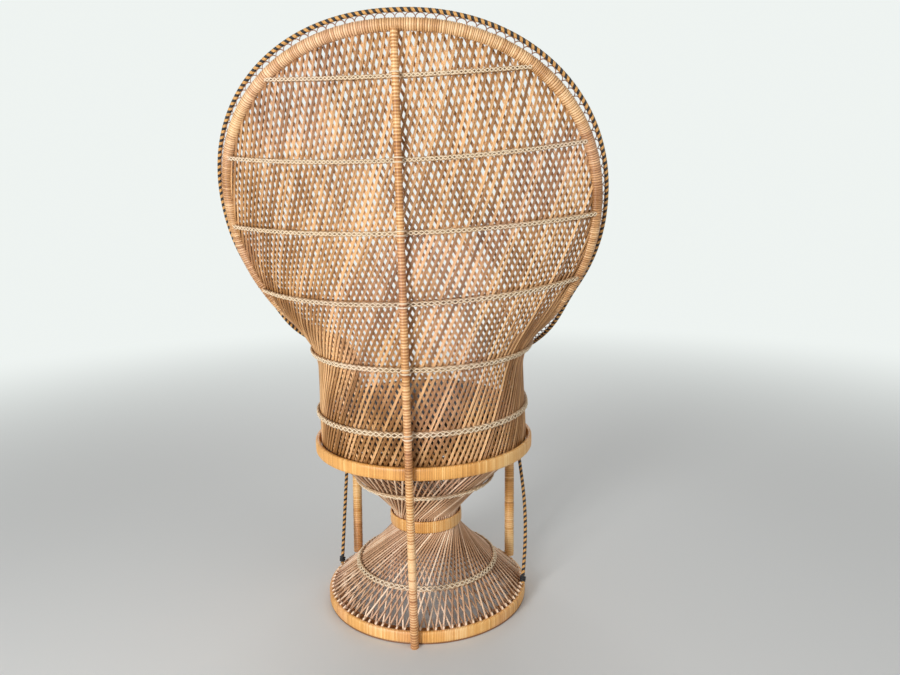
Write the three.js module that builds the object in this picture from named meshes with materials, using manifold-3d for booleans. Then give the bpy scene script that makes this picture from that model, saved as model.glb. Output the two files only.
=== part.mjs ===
// Peacock chair: an hourglass base, a barrel seat and a round fan back, all woven from cane.
// Millimetres, +Z up, the front of the chair towards -Y. The woven base stands round the Z axis,
// and the finished chair is moved along Y so that the origin lies under the middle of its outline.

import * as THREE from "three";
import { mergeVertices } from "three/addons/utils/BufferGeometryUtils.js";
import Module from "manifold-3d";

const wasm = await Module();
wasm.setup();
const degree = Math.PI / 180;

// Gap between pieces that touch, and the gap that a wrapped edge leaves for strand ends
const clearance = 0.3;
const joinTolerance = 0.05;
const endClearance = 0.8;
const strandEndGap = 1.6;

// Wrapped rings of the base and the seat, and the hoops that clamp strand ends inside them
const baseRingRadius = 272;
const baseRingHeight = 34;
const seatRingRadius = 289;
const seatRingBottom = 430;
const seatRingHeight = 33;
const clampWall = 12;
const baseClampTop = 24;
const clampHeight = 15;
const ringEdge = 3;
const ringWall = 13;
const ringSides = 40;

// Band round the waist of the hourglass
const waistRadius = 98;
const waistBottom = 210;
const waistHeight = 33;
const waistWall = 6;

// Strands: half-round ribs in two crossing layers, each layer nailed to its own strip
const backStrandWidth = 9;
const baseStrandWidth = 6;
const strandDepth = 4.4;
const layerGap = 2.7;
const baseLayerGap = 3;
const stripHeight = 8;
const stripMargin = 0.2;
const backPitch = 38;
const baseStrandCount = 44;
const lowerTwist = 47 * degree;
const waistTwist = 8 * degree;
const upperTwist = 37 * degree;
const barrelLean = 0.53;
const crownLean = 0.22;
const leanChange = 1000;
const shortestStrand = 90;

// Shell of the back: a barrel round the seat that opens into the fan
const barrelNarrowing = 7;
const flareStart = 660;
const flareBlend = 100;
const flareRate = 1.35;
const fanHalfWidth = 432;
const fanHalfHeight = 375;
const fanCentre = 1057;
const fanSquareness = 2.15;
const fanEnd = 118 * degree;
const wallStraightens = 600;
const wallStraightness = 0.66;
const wallEase = 5;
const wallEaseFrom = 180;
const wallEaseTo = 320;

// Poles
const poleRadius = 14;
const poleSides = 8;
const poleStep = 32;
const spineFootRadius = 10.5;
const spineTopRadius = 8;
const spineTop = 1424;
const postFootRadius = 271;
const postFootAngle = 123 * degree;
const postSeatAngle = 131 * degree;
const armFrontHeight = 575;
const armRearSweep = 0.73;
const armFrontSweep = 0.47;

// Twined bands across the back, from the seat up: height at the spine, rise towards both ends, and how
// far the hand-woven band climbs from the spine to its left end and falls to its right end
const backBands = [
  { height: 543, rise: 7, tilt: -7 },
  { height: 698, rise: 16, tilt: -2 },
  { height: 849, rise: 29, tilt: -12 },
  { height: 1006, rise: 27, tilt: -9 },
  { height: 1160, rise: 30, tilt: -10 },
  { height: 1331, rise: 12, tilt: -5 },
];
const bandHeight = 10;
const bandThickness = 5.5;
const bandSteps = 24;
const lowerBandHeight = 96;
const upperBandHeight = 352;
const lashingThickness = 2.2;
const lashingHeight = 20;

// Seat: two crossing layers of flat cane on the clamp hoop, over a cross of two bearers
const deckThickness = 3.5;
const deckRimWidth = 11;
const deckPitch = 32;
const deckSlot = 16;
const bearerRadius = 8;

// Two-colour rope along the rim, held off the pole by a lacing, and its free lower ends
const ropeRadius = 5.2;
const ropeGap = 9;
const ropeStep = 48;
const ropeSag = 0.6;
const ropeTurned = 700;
const ropeLeaves = 320;
const ropeEndAngle = { left: 104 * degree, right: 85 * degree };
const ropeSlack = { left: 0, right: 13 };
const lacingRadius = 1.6;
const lacingStep = 28;

// Loose seat cushion
const cushionRadius = 222;
const cushionEdge = 74;
const cushionCrown = 14;
const cushionDrawIn = 8;
const cushionSides = 24;

const caneColour = 0xd0a05f;
const reedColour = 0xd9ad7c;
const paleColour = 0xe6d6bb;
const ropeColour = 0x3b3029;
const clothColour = 0x24232a;

// Solids from points

function facedOut(geometry) {
  const p = geometry.getAttribute("position");
  const index = geometry.index.array;
  const a = new THREE.Vector3();
  const b = new THREE.Vector3();
  const c = new THREE.Vector3();
  let volume = 0;
  for (let i = 0; i < index.length; i += 3) {
    a.fromBufferAttribute(p, index[i]);
    b.fromBufferAttribute(p, index[i + 1]);
    c.fromBufferAttribute(p, index[i + 2]);
    volume += a.dot(b.cross(c));
  }
  if (volume < 0) {
    for (let i = 0; i < index.length; i += 3) {
      const kept = index[i + 1];
      index[i + 1] = index[i + 2];
      index[i + 2] = kept;
    }
  }
  return geometry;
}

// Joins a row of sections of equal point count into one closed solid.
function loft(sections, closed = false) {
  const count = sections[0].length;
  const rows = sections.length;
  const positions = sections.flat().flatMap((p) => [p.x, p.y, p.z]);
  const index = [];
  const spans = closed ? rows : rows - 1;
  for (let i = 0; i < spans; i++) {
    const near = i * count;
    const far = ((i + 1) % rows) * count;
    for (let j = 0; j < count; j++) {
      const next = (j + 1) % count;
      index.push(near + j, near + next, far + next);
      index.push(near + j, far + next, far + j);
    }
  }
  if (!closed) {
    const end = (rows - 1) * count;
    for (let j = 1; j < count - 1; j++) {
      index.push(0, j + 1, j);
      index.push(end, end + j, end + j + 1);
    }
  }
  const geometry = new THREE.BufferGeometry();
  geometry.setAttribute("position", new THREE.Float32BufferAttribute(positions, 3));
  geometry.setIndex(new THREE.Uint32BufferAttribute(index, 1));
  return facedOut(geometry);
}

// A ring turned round Z from a closed outline of [radius, height] points.
function turned(outline, sides) {
  const points = [...outline, outline[0]].map(([r, z]) => new THREE.Vector2(r, z));
  const geometry = new THREE.LatheGeometry(points, sides);
  geometry.rotateX(Math.PI / 2);
  return bare(geometry);
}

// Only shared positions are left, as joins and cuts need them.
function bare(geometry) {
  const copy = geometry.clone();
  copy.deleteAttribute("normal");
  copy.deleteAttribute("uv");
  return facedOut(mergeVertices(copy, 1e-3));
}

function solid(geometry) {
  const merged = bare(geometry);
  return new wasm.Manifold(
    new wasm.Mesh({
      numProp: 3,
      vertProperties: merged.getAttribute("position").array,
      triVerts: new Uint32Array(merged.index.array),
    }),
  );
}

function geometryOf(manifold) {
  const mesh = manifold.getMesh();
  const geometry = new THREE.BufferGeometry();
  geometry.setAttribute("position", new THREE.BufferAttribute(mesh.vertProperties, 3));
  geometry.setIndex(new THREE.BufferAttribute(mesh.triVerts, 1));
  return geometry;
}

function joined(geometries) {
  return geometryOf(wasm.Manifold.union(geometries.map(solid)).simplify(joinTolerance));
}

function vec(x, y, z) {
  return new THREE.Vector3(x, y, z);
}

// Places flat section points [across, out] at a point by two directions.
function section(outline, at, across, out) {
  return outline.map(([u, v]) => at.clone().addScaledVector(across, u).addScaledVector(out, v));
}

function roundOutline(radius, sides) {
  return Array.from({ length: sides }, (_, i) => {
    const turn = ((i + 0.5) / sides) * 2 * Math.PI;
    return [radius * Math.cos(turn), radius * Math.sin(turn)];
  });
}

function boxOutline(width, low, high) {
  return [
    [-width / 2, low],
    [width / 2, low],
    [width / 2, high],
    [-width / 2, high],
  ];
}

function smooth(t) {
  const x = Math.min(1, Math.max(0, t));
  return x * x * (3 - 2 * x);
}

// A ring with flat top, bottom and sides and eased edges.
function wrappedRing(inner, outer, low, high, edge) {
  return turned(
    [
      [inner, low],
      [outer - edge, low],
      [outer, low + edge],
      [outer, high - edge],
      [outer - edge, high],
      [inner + edge, high],
      [inner, high - edge],
    ],
    ringSides,
  );
}

// A plain hoop of rectangular section.
function plainHoop(inner, outer, low, high) {
  return turned(
    [
      [inner, low],
      [outer, low],
      [outer, high],
      [inner, high],
    ],
    ringSides,
  );
}

// Sizes that follow from the driving ones

const flatRing = Math.cos(Math.PI / ringSides);
const layerReach = layerGap / 2 + strandDepth;
const stripReach = layerReach + stripMargin;
const bandSag = 2.6;
const bandSeat = layerReach + clearance + bandSag;
const bandReach = bandSeat + bandThickness;
const seatRingTop = seatRingBottom + seatRingHeight;
const shellStripLow = seatRingTop - stripHeight - clearance;
const shellFoot = shellStripLow + stripHeight / 2;
const crown = fanCentre + fanHalfHeight;
const seatShellRadius = (seatRingRadius - ringWall) * flatRing - clearance - stripReach;
const barrelRadius = seatShellRadius - barrelNarrowing;
const baseReach = baseLayerGap / 2 + strandDepth;
const baseShellRadius = (baseRingRadius - ringWall) * flatRing - clearance - baseReach - stripMargin;
const seatClampRadius = seatShellRadius - stripReach - endClearance;
const baseClampRadius = baseRingRadius - ringWall - clearance;
const waistShellRadius = (waistRadius - waistWall) * flatRing - clearance - baseReach;
const waistTop = waistBottom + waistHeight;
const seatClampTop = seatRingTop - deckThickness;
const deckLow = seatClampTop + clearance;
const deckHigh = deckLow + 2 * deckThickness + clearance;

// The spine leans so that it touches the rear of both rings.
const spineFoot = baseRingRadius + clearance + spineFootRadius;
const seatRingMiddle = seatRingBottom + seatRingHeight / 2;

function spineRadius(z) {
  return spineFootRadius + (spineTopRadius - spineFootRadius) * (z / spineTop);
}

const spineLean =
  (seatRingRadius + clearance + spineRadius(seatRingMiddle) - spineFoot) / seatRingMiddle;

function spineLine(z) {
  return spineFoot + spineLean * z;
}

// Shell of the back, by length of arc from the spine and height. Its middle surface parts the two layers.

function rearLine(z) {
  const touching = spineLine(z) - spineRadius(z) - clearance - bandReach;
  const rise = smooth((z - shellFoot) / (backBands[0].height - shellFoot));
  return seatShellRadius + (touching - seatShellRadius) * rise;
}

function shellRadius(z) {
  const narrowing = smooth((z - shellFoot) / (flareStart - shellFoot));
  const past = z - flareStart;
  const ramp = past <= 0 ? 0 : past < flareBlend ? past ** 2 / (2 * flareBlend) : past - flareBlend / 2;
  return seatShellRadius + (barrelRadius - seatShellRadius) * narrowing + flareRate * ramp;
}

// The side walls of the barrel run on straighter past the widest point, above the seat ring.
function smoothPoint(arc, z) {
  const radius = shellRadius(z);
  const side = Math.sign(arc);
  const length = Math.abs(arc);
  const quarter = (radius * Math.PI) / 2;
  const rear = rearLine(z);
  if (length <= quarter) {
    const turn = length / radius;
    return vec(side * radius * Math.sin(turn), rear - radius * (1 - Math.cos(turn)), z);
  }
  const straightness = wallStraightness * smooth((z - shellFoot) / (wallStraightens - shellFoot));
  const wide = radius / (1 - straightness);
  const turn = (length - quarter) / wide;
  return vec(side * (radius - wide * (1 - Math.cos(turn))), rear - radius - wide * Math.sin(turn), z);
}

function strandShift(z) {
  const past = Math.max(0, z - leanChange);
  return barrelLean * (z - shellFoot) - ((barrelLean - crownLean) * past ** 2) / (2 * (crown - leanChange));
}

// Strands run straight between the seat and the two lowest bands, and follow the smooth surface above.
const shellLevels = [shellFoot, ...backBands.map((band) => band.height), crown + poleRadius];
const fanFoot = backBands[1].height;
const strandSag = 1.2;

function strandPoint(arc, z, lean) {
  if (z >= fanFoot) return smoothPoint(arc, z);
  let k = 1;
  while (k < shellLevels.length - 1 && z > shellLevels[k]) k++;
  const t = (z - shellLevels[k - 1]) / (shellLevels[k] - shellLevels[k - 1]);
  const at = (level) => smoothPoint(arc + lean * (strandShift(level) - strandShift(z)), level);
  return at(shellLevels[k - 1]).lerp(at(shellLevels[k]), t);
}

function shellPoint(arc, z) {
  return strandPoint(arc, z, 1).lerp(strandPoint(arc, z, -1), 0.5);
}

function shellNormal(arc, z) {
  const step = 0.5;
  const along = shellPoint(arc + step, z).sub(shellPoint(arc - step, z));
  const up = shellPoint(arc, z + step).sub(shellPoint(arc, z - step));
  return up.cross(along).normalize();
}

// Rim pole from the crown of the fan down the arm to the foot of the front post, on the +X side

// The fan is a little squarer than an ellipse.
function squarer(t) {
  return Math.sign(t) * Math.abs(t) ** (2 / fanSquareness);
}

function fanPoint(turn) {
  const x = fanHalfWidth * squarer(Math.sin(turn));
  const z = fanCentre + fanHalfHeight * squarer(Math.cos(turn));
  const radius = shellRadius(z);
  return smoothPoint(radius * Math.asin(x / radius), z);
}

const postFoot = vec(
  postFootRadius * Math.sin(postFootAngle),
  postFootRadius * Math.cos(postFootAngle),
  baseRingHeight + clearance,
);
const postReach = seatRingRadius + clearance + poleRadius;
const postSeat = vec(
  postReach * Math.sin(postSeatAngle),
  postReach * Math.cos(postSeatAngle),
  seatRingMiddle,
);
const postUp = postSeat.clone().sub(postFoot).normalize();

function postPoint(z) {
  return postFoot.clone().addScaledVector(postUp, (z - postFoot.z) / postUp.z);
}

const armRear = fanPoint(fanEnd);
const armFront = postPoint(armFrontHeight);
const armStart = armRear.clone().sub(fanPoint(fanEnd - 0.01)).normalize();
const armDrop = armRear.z - armFront.z;
const armCurve = new THREE.CubicBezierCurve3(
  armRear,
  armRear.clone().addScaledVector(armStart, armRearSweep * armDrop),
  armFront.clone().addScaledVector(postUp, armFrontSweep * armDrop),
  armFront,
);

// The whole rim as stations: a point, its direction and its outward direction in the chair's rear view.
function station(at, along, side = 1) {
  const out = vec(-along.z, 0, along.x).normalize().multiplyScalar(side);
  return { at, along, out, across: along.clone().cross(out).normalize() };
}

function stations(points, side = 1) {
  return points.map((at, i) => {
    const before = points[Math.max(0, i - 1)];
    const after = points[Math.min(points.length - 1, i + 1)];
    return station(at, after.clone().sub(before).normalize(), side);
  });
}

const fanRows = 60;
const armRows = 24;
const postRows = 24;

function rimPoints(side) {
  const points = [];
  for (let i = 0; i <= fanRows; i++) points.push(fanPoint((i / fanRows) * fanEnd));
  for (let i = 1; i <= armRows; i++) points.push(armCurve.getPoint(i / armRows));
  for (let i = 1; i <= postRows; i++) {
    points.push(postPoint(armFrontHeight + (i / postRows) * (postFoot.z - armFrontHeight)));
  }
  for (const p of points) p.x *= side;
  return points;
}

const rightRim = rimPoints(1);
const wholeRim = [...rimPoints(-1).reverse().slice(0, -1), ...rightRim];
const wholeStations = stations(wholeRim);

// Where the rim meets the shell: arc length from the spine at each height of the +X side.
const rimEdge = rightRim
  .filter((p) => p.z > shellFoot - 5 * stripHeight)
  .map((p) => {
    let best = 0;
    let least = Infinity;
    for (let arc = 0; arc < 760; arc += 1) {
      const gap = smoothPoint(arc, p.z).distanceTo(p);
      if (gap < least) {
        least = gap;
        best = arc;
      }
    }
    return { arc: best, z: p.z };
  });

function edgeArc(z) {
  for (let i = 1; i < rimEdge.length; i++) {
    if (z >= rimEdge[i].z) {
      const t = (z - rimEdge[i].z) / (rimEdge[i - 1].z - rimEdge[i].z);
      return rimEdge[i].arc + Math.min(1, t) * (rimEdge[i - 1].arc - rimEdge[i].arc);
    }
  }
  return rimEdge[rimEdge.length - 1].arc;
}

function nearestStation(point) {
  let best = wholeStations[0];
  let least = Infinity;
  for (const s of wholeStations) {
    const gap = s.at.distanceToSquared(point);
    if (gap < least) {
      least = gap;
      best = s;
    }
  }
  const away = point.clone().sub(best.at);
  away.addScaledVector(best.along, -away.dot(best.along));
  return { distance: away.length(), along: best.along };
}

// A strand or band, of a half width and a height off the shell, stays clear of the pole here.
function clearOfRim(arc, z, direction, halfWidth, lift) {
  if (z > crown || Math.abs(arc) > edgeArc(z)) return false;
  const near = nearestStation(shellPoint(arc, z).addScaledVector(shellNormal(arc, z), lift));
  const slant = direction ? Math.abs(near.along.dot(direction)) : 1;
  return near.distance > poleRadius + strandEndGap + halfWidth * slant;
}

// Strands of the back

function strandArc(start, lean, z) {
  return start + lean * strandShift(z);
}

function bandLevel(band, arc) {
  const share = arc / edgeArc(band.height + band.rise);
  return band.height + band.rise * share ** 2 + band.tilt * share;
}

function strandDirection(start, lean, z) {
  const above = strandPoint(strandArc(start, lean, z + 1), z + 1, lean);
  return above.sub(strandPoint(strandArc(start, lean, z - 1), z - 1, lean)).normalize();
}

// Height ranges over which a strand lies inside the rim, found by stepping up from the seat.
function strandRanges(start, lean, layer) {
  const step = 4;
  const lift = (layer * (layerGap + strandDepth)) / 2;
  const inside = (z) => {
    const direction = strandDirection(start, lean, z);
    return clearOfRim(strandArc(start, lean, z), z, direction, backStrandWidth / 2, lift);
  };
  const ranges = [];
  let within = false;
  for (let z = shellFoot; z < crown; z += step) {
    if (!inside(z)) {
      within = false;
    } else if (within) {
      ranges[ranges.length - 1].high = z;
    } else {
      within = true;
      ranges.push({ low: z, high: z });
    }
  }
  return ranges.filter(({ low, high }) => high - low > shortestStrand);
}

function ribOutline(width, flat, ridge) {
  return [
    [-width / 2, flat],
    [width / 2, flat],
    [0, ridge],
  ];
}

// Extra heights where the fan bends a strand too far off a straight line.
function withBetween(start, lean, low, high) {
  if (high === undefined || low < fanFoot) return [low];
  const at = (z) => strandPoint(strandArc(start, lean, z), z, lean);
  const off = at(low).lerp(at(high), 0.5).distanceTo(at((low + high) / 2));
  const parts = Math.ceil(Math.sqrt(off / strandSag));
  return Array.from({ length: Math.max(1, parts) }, (_, i) => low + ((high - low) * i) / parts);
}

// Inner strands stand a little further in where the side wall turns into the fan.
function wallRoom(arc, z) {
  const onFan = (z - fanFoot) / (shellLevels[3] - fanFoot);
  const up = onFan > 0 ? 1 - onFan : Math.min(1, (z - shellFoot) / stripHeight);
  return wallEase * Math.max(0, up) * smooth((arc - wallEaseFrom) / (wallEaseTo - wallEaseFrom));
}

function backStrand(start, lean, layer, range) {
  const levels = shellLevels.filter((z) => z > range.low + stripHeight && z < range.high - stripHeight);
  const rib = (ease) =>
    ribOutline(backStrandWidth, layer * (layerGap / 2 + ease), layer * (layerReach + ease));
  const stepIn = layer < 0 && start > wallEaseFrom ? [shellFoot + 2 * stripHeight] : [];
  const heights = [range.low, ...stepIn, ...levels, range.high];
  const rows = heights.flatMap((z, i) => withBetween(start, lean, z, heights[i + 1])).map((z) => {
    const arc = strandArc(start, lean, z);
    const normal = shellNormal(arc, z);
    const across = strandDirection(start, lean, z).cross(normal).normalize();
    return section(rib(layer < 0 ? wallRoom(arc, z) : 0), strandPoint(arc, z, lean), across, normal);
  });
  return loft(rows);
}

// A strip of the shell along points [arc, height], thick enough to hold the strand ends.
function stripFaces(layer) {
  return layer > 0 ? [layerGap / 2 - stripMargin, stripReach] : [-stripReach, stripMargin - layerGap / 2];
}

function shellStrip(route, layer, width, upright) {
  const [low, high] = stripFaces(layer);
  const rows = route.map(([arc, z], i) => {
    const before = route[Math.max(0, i - 1)];
    const after = route[Math.min(route.length - 1, i + 1)];
    const along = shellPoint(after[0], after[1]).sub(shellPoint(before[0], before[1])).normalize();
    const normal = shellNormal(arc, z);
    if (upright) normal.setZ(0).normalize();
    const across = along.clone().cross(normal).normalize();
    return section(boxOutline(width, low, high), shellPoint(arc, z), across, normal);
  });
  return loft(rows);
}

const shellHalf = edgeArc(shellFoot) - poleRadius;
const footStrip = (from, to, layer) => {
  const steps = Math.max(4, Math.ceil((to - from) / 30));
  const route = Array.from({ length: steps + 1 }, (_, i) => [from + ((to - from) * i) / steps, shellFoot]);
  return shellStrip(route, layer, stripHeight, true);
};

// Edge strip beside the pole, on one side, between two heights.
const edgeStripWidth = 9;
function edgeRoute(side, low, high, layer) {
  const [inside, outside] = stripFaces(layer);
  const corners = boxOutline(edgeStripWidth, inside, outside);
  const apart = poleRadius + 2 * clearance;
  const route = [];
  for (let i = 1; i < rimEdge.length - 1; i++) {
    const { arc, z } = rimEdge[i];
    const [over, under] = [rimEdge[i - 1], rimEdge[i + 1]];
    const rise = vec(over.arc - under.arc, 0, over.z - under.z).normalize();
    const at = (inset) => [arc - inset * rise.z, z + inset * rise.x];
    const gap = (inset) => {
      const point = shellPoint(...at(inset));
      const normal = shellNormal(...at(inset));
      const along = nearestStation(point).along;
      const across = along.clone().cross(normal).normalize();
      return Math.min(...section(corners, point, across, normal).map((p) => nearestStation(p).distance));
    };
    let inset = 0;
    while (inset < 3 * apart && gap(inset) < apart) inset += clearance / 2;
    const [inner, height] = at(inset);
    route.unshift([side * inner, height]);
  }
  const kept = route.filter(([, height]) => height > low && height < high);
  const first = route.indexOf(kept[0]);
  if (first > 0) {
    const [under, over] = [route[first - 1], route[first]];
    const t = (low - under[1]) / (over[1] - under[1]);
    kept.unshift([under[0] + t * (over[0] - under[0]), low]);
  }
  return kept;
}

function strandStarts(lean, layer) {
  const reach = strandShift(crown);
  const starts = [];
  const count = Math.floor((2 * shellHalf + reach) / backPitch);
  for (let i = 0; i < count; i++) starts.push(lean * (shellHalf - (i + 0.5) * backPitch));
  return starts.flatMap((start) => strandRanges(start, lean, layer).map((range) => ({ start, range })));
}

// A strand that starts on the rim starts in the middle of its edge strip.
function fromStrip(strand, lean, route) {
  const { start, range } = strand;
  const past = (z) => {
    const k = Math.max(1, route.findIndex(([, height]) => height >= z));
    const [before, after] = [route[k - 1], route[k]];
    const t = (z - before[1]) / (after[1] - before[1]);
    return (strandArc(start, lean, z) - before[0] - t * (after[0] - before[0])) * lean > 0;
  };
  const top = route[route.length - 1][1];
  let low = route[0][1];
  while (low < top && !past(low)) low += clearance;
  return low < top ? { start, range: { low, high: range.high } } : strand;
}

function footed(strand) {
  return strand.range.low <= shellFoot;
}

const chair = new THREE.Group();

function add(name, geometry, colour, roughness = 0.6) {
  const material = new THREE.MeshStandardMaterial({ color: colour, roughness, metalness: 0 });
  const mesh = new THREE.Mesh(geometry, material);
  mesh.name = name;
  chair.add(mesh);
  return mesh;
}

// Base

function makeBase() {
  const baseRing = wrappedRing(baseRingRadius - ringWall, baseRingRadius, 0, baseRingHeight, ringEdge);
  add("base_ring", baseRing, caneColour);
  const clampInner = baseClampRadius - 2 * clampWall;
  const clampHoop = plainHoop(clampInner, baseClampRadius, baseClampTop - clampHeight, baseClampTop);
  add("base_clamp_hoop", clampHoop, caneColour);
  add("waist_band", plainHoop(waistRadius - waistWall, waistRadius, waistBottom, waistTop), caneColour);
}

// Base strands run straight from ring to waist and on to the seat, twisting round the axis.
const baseStripLow = baseClampTop + clearance;
const baseFoot = baseStripLow + baseReach * 0.8;
const coneTop = seatRingBottom + ringEdge + baseReach + endClearance;
const waistEntry = 6;

function baseStations() {
  return [
    { radius: baseShellRadius, turn: 0, z: baseFoot },
    { radius: waistShellRadius, turn: lowerTwist, z: waistBottom - waistEntry },
    { radius: waistShellRadius, turn: lowerTwist + waistTwist, z: waistTop + waistEntry },
    { radius: seatShellRadius, turn: lowerTwist + waistTwist + upperTwist, z: coneTop },
  ];
}

// Outward slope of the hourglass at each row, eased where it bends.
const baseSlopes = (() => {
  const rows = baseStations();
  const slope = (a, b) => Math.atan2(b.radius - a.radius, b.z - a.z);
  return rows.map((row, i) => {
    const below = i > 0 ? slope(rows[i - 1], row) : slope(row, rows[i + 1]);
    const above = i < rows.length - 1 ? slope(row, rows[i + 1]) : below;
    return (below + above) / 2;
  });
})();

function coneRadius(z) {
  const rows = baseStations();
  const i = rows.findIndex((row, k) => k > 0 && row.z >= z);
  const a = rows[i - 1];
  const b = rows[i];
  const t = (z - a.z) / (b.z - a.z);
  const x = (1 - t) * a.radius + t * b.radius * Math.cos(b.turn - a.turn);
  const y = t * b.radius * Math.sin(b.turn - a.turn);
  return Math.hypot(x, y);
}

function baseStrand(start, lean, layer) {
  const rows = baseStations();
  const points = rows.map(({ radius, turn, z }) => {
    const angle = start + lean * turn;
    return vec(radius * Math.cos(angle), radius * Math.sin(angle), z);
  });
  const outline = ribOutline(baseStrandWidth, (layer * baseLayerGap) / 2, layer * baseReach);
  const sections = points.map((at, i) => {
    const before = points[Math.max(0, i - 1)];
    const after = points[Math.min(points.length - 1, i + 1)];
    const along = after.clone().sub(before).normalize();
    const angle = start + lean * rows[i].turn;
    const tilt = baseSlopes[i];
    const normal = vec(Math.cos(angle) * Math.cos(tilt), Math.sin(angle) * Math.cos(tilt), -Math.sin(tilt));
    const across = along.clone().cross(normal).normalize();
    return section(outline, at, across, normal);
  });
  return loft(sections);
}

// Nailing strip at the feet of the base strands, from one angle to another.
// Outer strands pass over the inner one.
function baseStrip(from, to, layer) {
  const flat = baseLayerGap / 2 - stripMargin;
  const low = layer > 0 ? flat : -2 * baseReach;
  const high = layer > 0 ? baseReach + stripMargin : -flat;
  const height = layer > 0 ? baseRingHeight - baseStripLow - clearance : baseReach;
  const steps = Math.ceil((to - from) / (2 * Math.PI / ringSides));
  const whole = to - from > 2 * Math.PI - 1e-6;
  const rows = [];
  for (let i = 0; i <= (whole ? steps - 1 : steps); i++) {
    const angle = from + ((to - from) * i) / steps;
    const out = vec(Math.cos(angle), Math.sin(angle), 0);
    const at = out.clone().multiplyScalar(baseShellRadius).setZ(baseStripLow + height / 2);
    rows.push(section(boxOutline(height, low, high), at, vec(0, 0, 1), out));
  }
  return loft(rows, whole);
}

function makeBaseStrands() {
  const sectors = ["right", "rear", "left", "front"];
  const pitch = (2 * Math.PI) / baseStrandCount;
  const share = baseStrandCount / sectors.length;
  sectors.forEach((name, k) => {
    const from = k * share * pitch - Math.PI / 4;
    const strands = [];
    for (let i = 0; i < share; i++) strands.push(baseStrand(from + (i + 0.5) * pitch, 1, 1));
    const gap = clearance / baseShellRadius;
    strands.push(baseStrip(from + gap, from + share * pitch - gap, 1));
    add(`base_outer_strands_${name}`, joined(strands), reedColour);
  });
  const inner = [baseStrip(0, 2 * Math.PI, -1)];
  for (let i = 0; i < baseStrandCount; i++) inner.push(baseStrand((i + 0.5) * pitch, -1, -1));
  add("base_inner_strands", joined(inner), reedColour);
}

function makeBaseBands() {
  for (const [name, z] of [["base_band_lower", lowerBandHeight], ["base_band_upper", upperBandHeight]]) {
    const slope = Math.atan2(coneRadius(z + 5) - coneRadius(z - 5), 10);
    const seat = baseReach + clearance;
    const outline = boxOutline(bandHeight, seat, seat + bandThickness).map(([u, v]) => [
      coneRadius(z) + u * Math.sin(slope) + v * Math.cos(slope),
      z + u * Math.cos(slope) - v * Math.sin(slope),
    ]);
    add(name, turned(outline, ringSides), paleColour, 0.7);
  }
}

// Seat

function deckLayer(turn, low) {
  const outer = seatClampRadius * flatRing - 3 * endClearance;
  const inner = outer - deckRimWidth;
  const shape = new THREE.Shape(
    Array.from({ length: ringSides }, (_, i) => {
      const angle = (i / ringSides) * 2 * Math.PI;
      return new THREE.Vector2(outer * Math.cos(angle), outer * Math.sin(angle));
    }),
  );
  const rows = Math.floor((inner - deckSlot) / deckPitch);
  for (let i = -rows; i <= rows; i++) {
    const low = i * deckPitch - deckSlot / 2;
    const high = low + deckSlot;
    const lowReach = Math.sqrt(inner ** 2 - low ** 2);
    const highReach = Math.sqrt(inner ** 2 - high ** 2);
    shape.holes.push(
      new THREE.Path([
        new THREE.Vector2(-lowReach, low),
        new THREE.Vector2(lowReach, low),
        new THREE.Vector2(highReach, high),
        new THREE.Vector2(-highReach, high),
      ]),
    );
  }
  const geometry = new THREE.ExtrudeGeometry(shape, { depth: deckThickness, bevelEnabled: false });
  geometry.rotateZ(turn);
  geometry.translate(0, 0, low);
  return bare(geometry);
}

function makeSeat() {
  add(
    "seat_ring",
    wrappedRing(seatRingRadius - ringWall, seatRingRadius, seatRingBottom, seatRingTop, ringEdge),
    caneColour,
  );
  const clampInner = seatClampRadius - clampWall;
  const clampHoop = plainHoop(clampInner, seatClampRadius, seatClampTop - clampHeight, seatClampTop);
  add("seat_clamp_hoop", clampHoop, caneColour);
  add("seat_deck_lower", deckLayer(45 * degree, deckLow), reedColour);
  add("seat_deck_upper", deckLayer(-45 * degree, deckLow + deckThickness + clearance), reedColour);
  const reach = clampInner * flatRing - clearance;
  const height = seatClampTop - bearerRadius;
  const rod = (along, across) =>
    loft([-reach, reach].map((d) => {
      const end = along.clone().multiplyScalar(d).setZ(height);
      return section(roundOutline(bearerRadius, poleSides), end, across, vec(0, 0, 1));
    }));
  const notch = (along, across, low, high) => {
    const width = bearerRadius + clearance;
    const outline = [[-width, low], [width, low], [width, high], [-width, high]];
    const end = (d) => along.clone().multiplyScalar(d);
    return loft([-width, width].map((d) => section(outline, end(d), across, vec(0, 0, 1))));
  };
  const x = vec(1, 0, 0);
  const y = vec(0, 1, 0);
  const half = clearance / 2;
  const crossRod = solid(rod(x, y)).subtract(solid(notch(x, y, height - half, height + 2 * bearerRadius)));
  const longRod = solid(rod(y, x)).subtract(solid(notch(y, x, height - 2 * bearerRadius, height + half)));
  add("seat_bearer_cross", geometryOf(crossRod), caneColour);
  add("seat_bearer_long", geometryOf(longRod), caneColour);
}

// Poles

function pole(rows, radius, sides = poleSides) {
  return loft(rows.map((s) => section(roundOutline(radius, sides), s.at, s.out, s.across)));
}

function evenStations(points, step, side = 1) {
  const curve = new THREE.CatmullRomCurve3(points, false, "centripetal");
  const count = Math.max(2, Math.round(curve.getLength() / step));
  return Array.from({ length: count + 1 }, (_, i) => {
    return station(curve.getPointAt(i / count), curve.getTangentAt(i / count), side);
  });
}

// Neighbouring poles meet on one plane, square to a shared direction.
function squared(rows, first, last, side = 1) {
  const end = rows.length - 1;
  rows[0] = station(rows[0].at, first, side);
  rows[end] = station(rows[end].at, last, side);
  return rows;
}

// The stretch of the rim between two distances from a chosen start, with square ends.
const fanPoints = [...rightRim.slice(0, fanRows + 1)];
const fanWhole = [...fanPoints.map((p) => vec(-p.x, p.y, p.z)).reverse().slice(0, -1), ...fanPoints];

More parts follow.
